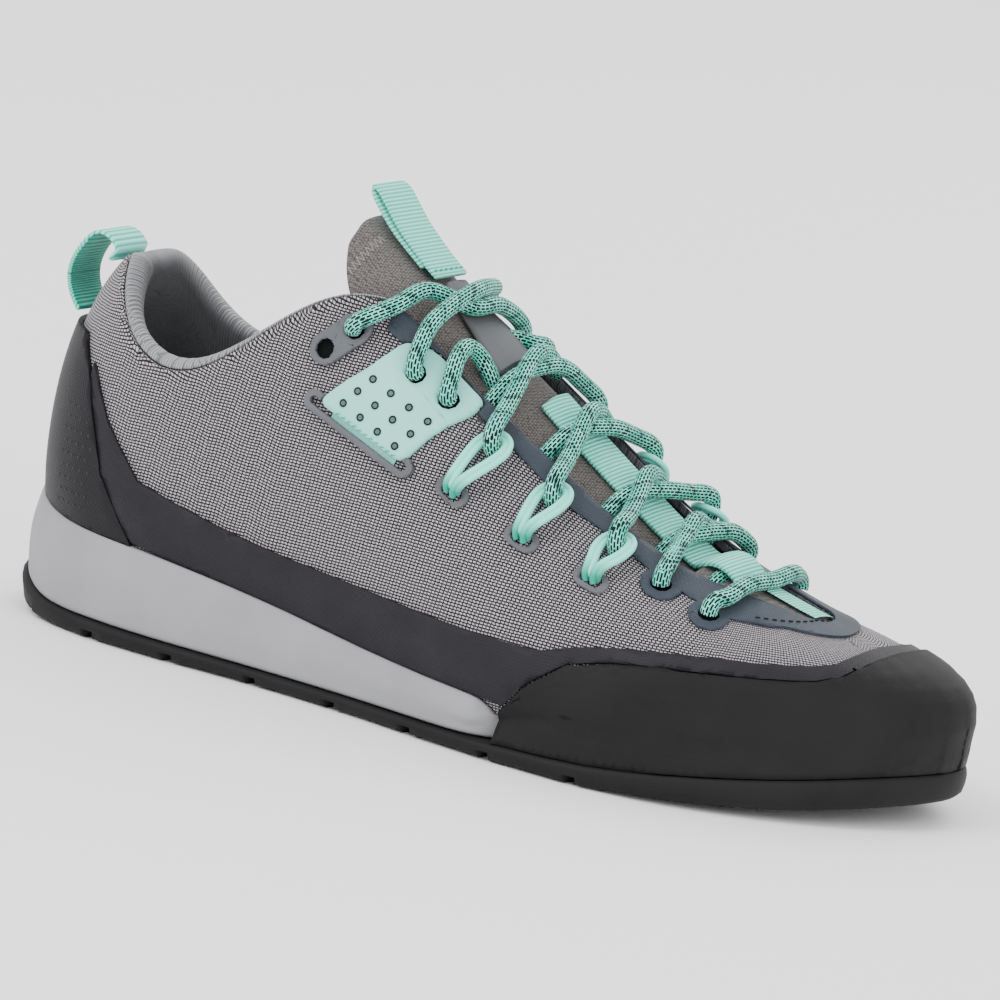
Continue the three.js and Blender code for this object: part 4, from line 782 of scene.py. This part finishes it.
def mapWebbing(piece, lean, bend=None):
    # length along the webbing: straight with its lean, or round the centre of its bend
    layer = piece.data.uv_layers.new(name="weave")
    for loop in piece.data.loops:
        co = piece.data.vertices[loop.vertex_index].co
        if bend:
            along = math.atan2(co.z - bend["z"], co.x - bend["x"]) * bend["radius"]
        else:
            along = co.x * math.cos(math.radians(lean)) - co.z * math.sin(math.radians(lean))
        layer.data[loop.index].uv = (along / mm, co.y / mm)


for node, lean in leans.items():
    mapWebbing(pieces[node], lean)
mapWebbing(pieces["heel_loop"], 0, heelBend)
tableOfHeights = heightTable(smoothTree)
for node in ("upper", "side_film", "heel_counter", "eyestay", "toe_rand", "collar_lining"):
    mapKnit(pieces[node], tableOfHeights)
print("knit map made")


# Knit: width, height and gap of a loop in millimetres, and the lean of its rows
knitLook = {"width": 1.06, "row": 0.76, "gap": 0.21, "lean": 0.55}
webbingRib = 1.05  # millimetres from rib to rib
reliefs = {"knit": 0.3 * mm, "film": 0.3 * mm, "cloth": 0.2 * mm, "ribs": 0.2 * mm,
           "webbing": 0.3 * mm, "cord": 0.1 * mm, "braid": 0.22 * mm}


def leaning(material, place, lean):
    # rows that lean: the length round the foot grows with the height
    split = addNode(material, "ShaderNodeSeparateXYZ", None, i0=place)
    moved = addNode(material, "ShaderNodeMath", {"operation": "MULTIPLY_ADD", 1: lean},
                    i0=split.outputs[1], i2=split.outputs[0])
    return addNode(material, "ShaderNodeCombineXYZ", None, i0=moved.outputs[0],
                   i1=split.outputs[1]).outputs[0]


def mixColours(material, factor, first, second):
    # each of the two is a socket or a hex colour
    node = addNode(material, "ShaderNodeMix", {"data_type": "RGBA"})
    material.node_tree.links.new(factor, node.inputs[0])
    for number, source in ((6, first), (7, second)):
        if isinstance(source, str):
            node.inputs[number].default_value = toLinear(source)
        else:
            material.node_tree.links.new(source, node.inputs[number])
    return node.outputs[2]


def knitMaterial():
    # polyester jersey, knitted: light loops in leaning rows on a near-black ground
    material, shader = newMaterial("polyester_knit", "#8f8b8f", 0.85, Sheen_Weight=0.2)
    place = addNode(material, "ShaderNodeUVMap", {"uv_map": "knit"}).outputs[0]
    wobble = addNode(material, "ShaderNodeTexNoise", {"Scale": 0.25, "Detail": 2}, Vector=place)
    spread = addNode(material, "ShaderNodeVectorMath", {"operation": "MULTIPLY_ADD",
                                                        1: (0.5, 0.5, 0.0)},
                     i0=wobble.outputs["Color"], i2=leaning(material, place, knitLook["lean"]))
    loops = addNode(material, "ShaderNodeTexBrick", {
        "offset": 0.5, "offset_frequency": 2, "squash": 1, "Scale": 1,
        "Mortar Size": knitLook["gap"], "Mortar Smooth": 0.4, "Bias": 0,
        "Brick Width": knitLook["width"], "Row Height": knitLook["row"]},
        Vector=spread.outputs[0])
    patches = addNode(material, "ShaderNodeTexNoise", {"Scale": 0.9, "Detail": 3}, Vector=place)
    light = ramp(material, patches.outputs[0], [(0.3, "#9c959c"), (0.7, "#c0b8bf")])
    join(material, mixColours(material, loops.outputs["Fac"], light.outputs[0], "#131114"),
         shader, "Base Color")
    height = addNode(material, "ShaderNodeMath", {"operation": "SUBTRACT", 0: 1.0},
                     i1=loops.outputs["Fac"])
    bump(material, height.outputs[0], shader, reliefs["knit"], 0.7)
    return material


def filmMaterial(name, colour, dark):
    # thermoplastic film pressed on the knit, which shows through as a faint relief
    material, shader = newMaterial(name, colour, 0.5)
    place = addNode(material, "ShaderNodeUVMap", {"uv_map": "knit"}).outputs[0]
    loops = addNode(material, "ShaderNodeTexBrick", {
        "offset": 0.5, "Scale": 1, "Mortar Size": 0.2, "Mortar Smooth": 1.0, "Bias": 0,
        "Brick Width": 1.12, "Row Height": 0.78}, Vector=place)
    cloud = addNode(material, "ShaderNodeTexNoise", {"Scale": 0.08, "Detail": 6}, Vector=place)
    tone = ramp(material, cloud.outputs[0], [(0.35, dark), (0.65, colour)])
    join(material, tone.outputs[0], shader, "Base Color")
    height = addNode(material, "ShaderNodeMath", {"operation": "MULTIPLY", 1: -0.25},
                     i0=loops.outputs["Fac"])
    bump(material, height.outputs[0], shader, reliefs["film"], 0.7)
    return material


def plainMaterial(name, colour, dark, roughness, grain, depth):
    # moulded surface: slow change of tone and a fine grain
    material, shader = newMaterial(name, colour, roughness)
    place = objectPlace(material)
    cloud = addNode(material, "ShaderNodeTexNoise", {"Scale": 45.0, "Detail": 6}, Vector=place)
    tone = ramp(material, cloud.outputs[0], [(0.35, dark), (0.65, colour)])
    join(material, tone.outputs[0], shader, "Base Color")
    fine = addNode(material, "ShaderNodeTexNoise", {"Scale": 1 / (grain * mm), "Detail": 3},
                   Vector=place)
    bump(material, fine.outputs[0], shader, depth * mm)
    return material


def clothMaterial(name, light, dark, thread):
    # fine woven cloth, drawn as coarse as it needs to show
    material, shader = newMaterial(name, light, 0.9, Sheen_Weight=0.2)
    place = objectPlace(material)
    weave = addNode(material, "ShaderNodeTexVoronoi", {
        "Scale": 1 / (thread * mm), "Randomness": 0.35}, Vector=place)
    tone = ramp(material, weave.outputs["Distance"], [(0.1, light), (0.75, dark)])
    join(material, tone.outputs[0], shader, "Base Color")
    bump(material, weave.outputs["Distance"], shader, -reliefs["cloth"])
    return material


def webbingMaterial(name, light, dark):
    # nylon webbing with a rib across about every millimetre
    material, shader = newMaterial(name, light, 0.7, Sheen_Weight=0.2)
    place = addNode(material, "ShaderNodeUVMap", {"uv_map": "weave"}).outputs[0]
    ribs = addNode(material, "ShaderNodeTexWave", {
        "wave_type": "BANDS", "bands_direction": "X", "Scale": math.pi / (10 * webbingRib),
        "Distortion": 0.15, "Detail": 0}, Vector=place)
    tone = ramp(material, ribs.outputs["Fac"], [(0.05, dark), (0.55, light)])
    join(material, tone.outputs[0], shader, "Base Color")
    bump(material, ribs.outputs["Fac"], shader, reliefs["webbing"])
    return material


def ribbedMaterial(name, light, dark, width, row, shade=None):
    # polyester lining, knitted in fine ribs that stand across the length of the foot
    material, shader = newMaterial(name, light, 0.9, Sheen_Weight=0.2)
    place = addNode(material, "ShaderNodeUVMap", {"uv_map": "knit"}).outputs[0]
    ribs = addNode(material, "ShaderNodeTexBrick", {
        "offset": 0.5, "Scale": 1, "Mortar Size": width * 0.2, "Mortar Smooth": 0.9, "Bias": 0,
        "Brick Width": width, "Row Height": row}, Vector=place)
    colour = mixColours(material, ribs.outputs["Fac"], light, dark)
    if shade:
        turned = addNode(material, "ShaderNodeUVMap", {"uv_map": "inward"}).outputs[0]
        split = addNode(material, "ShaderNodeSeparateXYZ", None, i0=turned)
        colour = mixColours(material, split.outputs[0], colour, shade)
    join(material, colour, shader, "Base Color")
    height = addNode(material, "ShaderNodeMath", {"operation": "MULTIPLY", 1: -1.0},
                     i0=ribs.outputs["Fac"])
    bump(material, height.outputs[0], shader, reliefs["ribs"])
    return material


# Shade inside the collar: from low to high, as faces turn towards the middle line of the foot
inward = {"low": 0.3, "high": 0.95, "heelEnd": 0.012, "toeEnd": 0.15}


def mapInward(piece):
    # how far a face looks into the shoe, from 0 to 1
    layer = piece.data.uv_layers.new(name="inward")
    for loop in piece.data.loops:
        vert = piece.data.vertices[loop.vertex_index]
        along = min(max(vert.co.x, inward["heelEnd"]), inward["toeEnd"])
        centre = Vector((along, 0, vert.co.z))
        share = vert.normal.dot((centre - vert.co).normalized())
        share = (share - inward["low"]) / (inward["high"] - inward["low"])
        layer.data[loop.index].uv = (min(max(share, 0), 1), 0)


def cordMaterial(name, colour, foot, reach):
    # nylon cord, darker towards its two feet
    material, shader = newMaterial(name, colour, 0.6, Sheen_Weight=0.2)
    place = addNode(material, "ShaderNodeUVMap", {"uv_map": "foot"}).outputs[0]
    split = addNode(material, "ShaderNodeSeparateXYZ", None, i0=place)
    share = addNode(material, "ShaderNodeMapRange", {1: reach * 0.3, 2: reach},
                    i0=split.outputs[0])
    grain = addNode(material, "ShaderNodeTexNoise", {"Scale": 2500, "Detail": 3},
                    Vector=objectPlace(material))
    join(material, mixColours(material, share.outputs[0], foot, colour), shader, "Base Color")
    bump(material, grain.outputs[0], shader, reliefs["cord"])
    return material


# Lace: dashes along it in rows, and one dark tracer yarn that runs to and fro round it
braid = {"pitch": 1.5, "row": 0.813, "mint": 0.165, "tracerPitch": 6.4, "tracerSwing": 3.45,
         "tracerLean": 0.9, "tracerWidth": 0.62}


def braidMaterial():
    # polyester braid: mint yarn with rows of dark dashes along it
    material, shader = newMaterial("polyester_braid", "#5fd0bb", 0.75, Sheen_Weight=0.15)
    place = addNode(material, "ShaderNodeUVMap", {"uv_map": "braid"}).outputs[0]
    yarns = addNode(material, "ShaderNodeTexBrick", {
        "offset": 0.5, "Scale": 1, "Mortar Size": braid["mint"], "Mortar Smooth": 0.12,
        "Bias": 0.0, "Brick Width": braid["pitch"], "Row Height": braid["row"]}, Vector=place)
    cloud = addNode(material, "ShaderNodeTexNoise", {"Scale": 0.35, "Detail": 2}, Vector=place)
    light = ramp(material, cloud.outputs[0], [(0.35, "#3bc8b0"), (0.65, "#86f2de")])
    split = addNode(material, "ShaderNodeSeparateXYZ", None, i0=place)
    rows = addNode(material, "ShaderNodeMath", {"operation": "SNAP", 1: braid["row"]},
                   i0=split.outputs[1])
    swing = addNode(material, "ShaderNodeMath", {"operation": "PINGPONG", 1: braid["tracerSwing"]},
                    i0=rows.outputs[0])
    leant = addNode(material, "ShaderNodeMath", {"operation": "MULTIPLY_ADD",
                                                 1: braid["tracerLean"]},
                    i0=swing.outputs[0], i2=split.outputs[0])
    turn = addNode(material, "ShaderNodeMath", {"operation": "FLOORED_MODULO",
                                                1: braid["tracerPitch"]}, i0=leant.outputs[0])
    tracer = addNode(material, "ShaderNodeMath", {"operation": "GREATER_THAN",
                                                  1: braid["tracerWidth"]}, i0=turn.outputs[0])
    both = addNode(material, "ShaderNodeMath", {"operation": "MULTIPLY"},
                   i0=yarns.outputs["Fac"], i1=tracer.outputs[0])
    join(material, mixColours(material, both.outputs[0], "#050b0a", light.outputs[0]),
         shader, "Base Color")
    bump(material, yarns.outputs["Fac"], shader, reliefs["braid"])
    return material


def dress(nodes, material):
    for node in nodes:
        piece = pieces[node]
        piece.data.materials.clear()
        piece.data.materials.append(material)


# Upper: knit outside, dark ribbed lining inside, and the pale roll of the collar at the top
# of the throat; a face whose knit map is squeezed looks into the throat and is lining too
throat = {"facing": 0.15, "squeezed": 0.3, "axisEnd": 0.17, "axisHeight": 0.03,
          "rollEnd": 0.088, "rollWidth": 3.2 * mm, "edgeWidth": 4.4 * mm}


def dressUpper():
    dress(["upper"], knitMaterial())
    materials = upper.data.materials
    materials.append(ribbedMaterial("polyester_lining_inside", "#4a494c", "#2b2a2d", 0.8, 0.8))
    materials.append(ribbedMaterial("polyester_edge", "#96989c", "#5f6165", 0.75, 1.1))
    places = upper.data.uv_layers["knit"].data
    for polygon in upper.data.polygons:
        centre = polygon.center
        axis = Vector((min(max(centre.x, 0), throat["axisEnd"]), 0, throat["axisHeight"]))
        facing = polygon.normal.dot((centre - axis).normalized())
        corners = [places[index].uv for index in polygon.loop_indices]
        mapped = abs(sum(a[0] * b[1] - b[0] * a[1]
                         for a, b in zip(corners, corners[1:] + corners[:1]))) / 2
        if facing < throat["facing"] or mapped < throat["squeezed"] * polygon.area / mm ** 2:
            polygon.material_index = 1
        elif centre.x < throat["rollEnd"]:
            if tongueTree.find_nearest(centre, throat["rollWidth"])[0] is not None:
                polygon.material_index = 2
        elif tongueTree.find_nearest(centre, throat["edgeWidth"])[0] is not None:
            polygon.material_index = 1


dressUpper()
# films: matte and near black, with the knit under them as a faint relief; the eyestay is bluer,
# and the heel's film is darker than the side's as painted shade on the back of the heel
dress(["side_film"], filmMaterial("urethane_film_side", "#242328", "#1f1e22"))
dress(["heel_counter"], filmMaterial("urethane_film_heel_painted_shade", "#1b1a1e", "#17161a"))
dress(["eyestay"], filmMaterial("urethane_film_eyestay", "#3c434d", "#343b44"))
# raised dots: a tone lighter than the counter, a painted highlight so that they catch the light
dress(["dots"], plainMaterial("urethane_dots_painted_highlight", "#29282d", "#242328", 0.5, 0.7, 0.02))
# moulded rubber: dull black with a soft wide highlight on its round edges
dress(["toe_rand"], plainMaterial("moulded_rubber_rand", "#1b1b1c", "#161617", 0.62, 0.6, 0.05))
dress(["outsole"], plainMaterial("moulded_rubber_sole", "#1c1c1d", "#171718", 0.6, 0.6, 0.05))
# foam: even light grey, slightly grainy
dress(["midsole"], plainMaterial("eva_foam", "#96969a", "#8e8e92", 0.6, 0.9, 0.05))
# cloths: warm grey tongue and darker insole, matte with a visible weave
dress(["insole"], clothMaterial("polyester_insole", "#4c4c4e", "#2c2c2e", 0.9))
dress(["tongue", "front_cloth"], clothMaterial("polyester_tongue", "#7b7573", "#3d3938", 0.6))
# shade in the eyelets: nearly black, so that they look deep
dress(["shades"], plainMaterial("shaded_eyelet", "#0e1012", "#0a0b0c", 0.9, 0.7, 0.01))
# tape and threads: thin lines that stand out a little from what they are sewn on
dress(["strip"], plainMaterial("polyester_tape", "#6a6c6f", "#5e6063", 0.8, 0.5, 0.05))
dress(["seam_eyestay"], plainMaterial("thread_dark", "#17191d", "#121317", 0.8, 0.4, 0.02))
dress(["seam_tongue_outer", "seam_tongue_inner"],
      plainMaterial("thread_grey", "#8d8787", "#7b7575", 0.8, 0.4, 0.02))
dress(["seam_loop", "seam_panel_outer", "seam_panel_inner"],
      plainMaterial("thread_teal", "#22b8a0", "#149680", 0.8, 0.4, 0.02))
# collar: pale ribbed cloth on the roll that falls off into shade inside
mapInward(pieces["collar_lining"])
dress(["collar_lining"],
      ribbedMaterial("polyester_lining", "#96989c", "#5f6165", 0.75, 1.1, shade="#48494c"))
# keeper plate: dark grey moulded plastic with a slight sheen
dress(["lace_keeper"], plainMaterial("moulded_tpu_keeper", "#55575a", "#4d4f52", 0.5, 0.8, 0.03))
# webbings: bright mint with ribs across
dress(["tongue_webbing", "tongue_loop", "heel_loop", "front_webbing"],
      webbingMaterial("nylon_webbing", "#86f2de", "#3bb09c"))
# the inside of the heel loop is a darker teal webbing: painted shade
pieces["heel_loop"].data.materials.append(webbingMaterial("nylon_webbing_shaded_inside", "#16ab92",
                                                          "#0c7c6a"))
# faces that look towards the loop's centre get the painted shade
for polygon in pieces["heel_loop"].data.polygons:
    if polygon.normal.dot(Vector((heelBend["x"], 0, heelBend["z"])) - polygon.center) > 0:
        polygon.material_index = 1
# holes of the panels: a dark ring of painted shade with the grey-green backing in its middle
dress(["holes_outer", "holes_inner"],
      plainMaterial("shaded_hole", "#1d2422", "#161b1a", 0.9, 0.7, 0.01))
dress(["cores_outer", "cores_inner"],
      plainMaterial("panel_backing", "#5c6e6a", "#4b5b58", 0.9, 0.7, 0.01))
# panels: smooth pale mint plastic, lighter than the webbings
dress(["panel_outer", "panel_inner", "rims_outer", "rims_inner", "hem_outer", "hem_inner"],
      plainMaterial("moulded_urethane_panel", "#94e0d3", "#86d6c8", 0.45, 0.7, 0.03))
# frames, ports and eyelet plates: mid grey moulded plastic, between the knit and the films
dress([node for node in follow if "frame" in node or "port" in node or "plate" in node],
      plainMaterial("moulded_tpu_grey", "#5f6166", "#57595e", 0.5, 0.7, 0.03))
dress(laces["nodes"], braidMaterial())
dress(loops["nodes"], cordMaterial("nylon_cord", "#7ff2dd", "#0fa089", 6.0))
print("materials made")

# Floor and light
studio = {"floor": "#fdfdfd", "floorSize": 3, "world": "#ffffff", "worldStrength": 1.5,
          "aim": (0.1, 0, 0.04)}
lights = {"light_key": ((-0.5, -1.2, 1.6), 1.0, 22), "light_fill": ((1.4, -0.9, 0.9), 1.2, 9),
          "light_rim": ((0.2, 1.4, 1.2), 1.0, 10)}  # place, size and power


def addStage():
    bm = bmesh.new()
    bmesh.ops.create_grid(bm, x_segments=1, y_segments=1, size=studio["floorSize"])
    mesh = bpy.data.meshes.new("floor")
    bm.to_mesh(mesh)
    bm.free()
    floor = bpy.data.objects.new("floor", mesh)
    bpy.context.scene.collection.objects.link(floor)
    material, shader = newMaterial("painted_floor", studio["floor"], 0.9)
    mesh.materials.append(material)
    world = bpy.data.worlds.new("studio")
    world.use_nodes = True
    background = world.node_tree.nodes["Background"]
    background.inputs[0].default_value = toLinear(studio["world"])
    background.inputs[1].default_value = studio["worldStrength"]
    bpy.context.scene.world = world


def addLight(name, place, size, power):
    light = bpy.data.lights.new(name, "AREA")
    light.energy, light.size = power, size
    lamp = bpy.data.objects.new(name, light)
    bpy.context.scene.collection.objects.link(lamp)
    lamp.location = place
    lamp.rotation_mode = "QUATERNION"
    lamp.rotation_quaternion = (Vector(studio["aim"]) - Vector(place)).to_track_quat("-Z", "Y")


addStage()
for name, (place, size, power) in lights.items():
    addLight(name, place, size, power)
print("stage made")
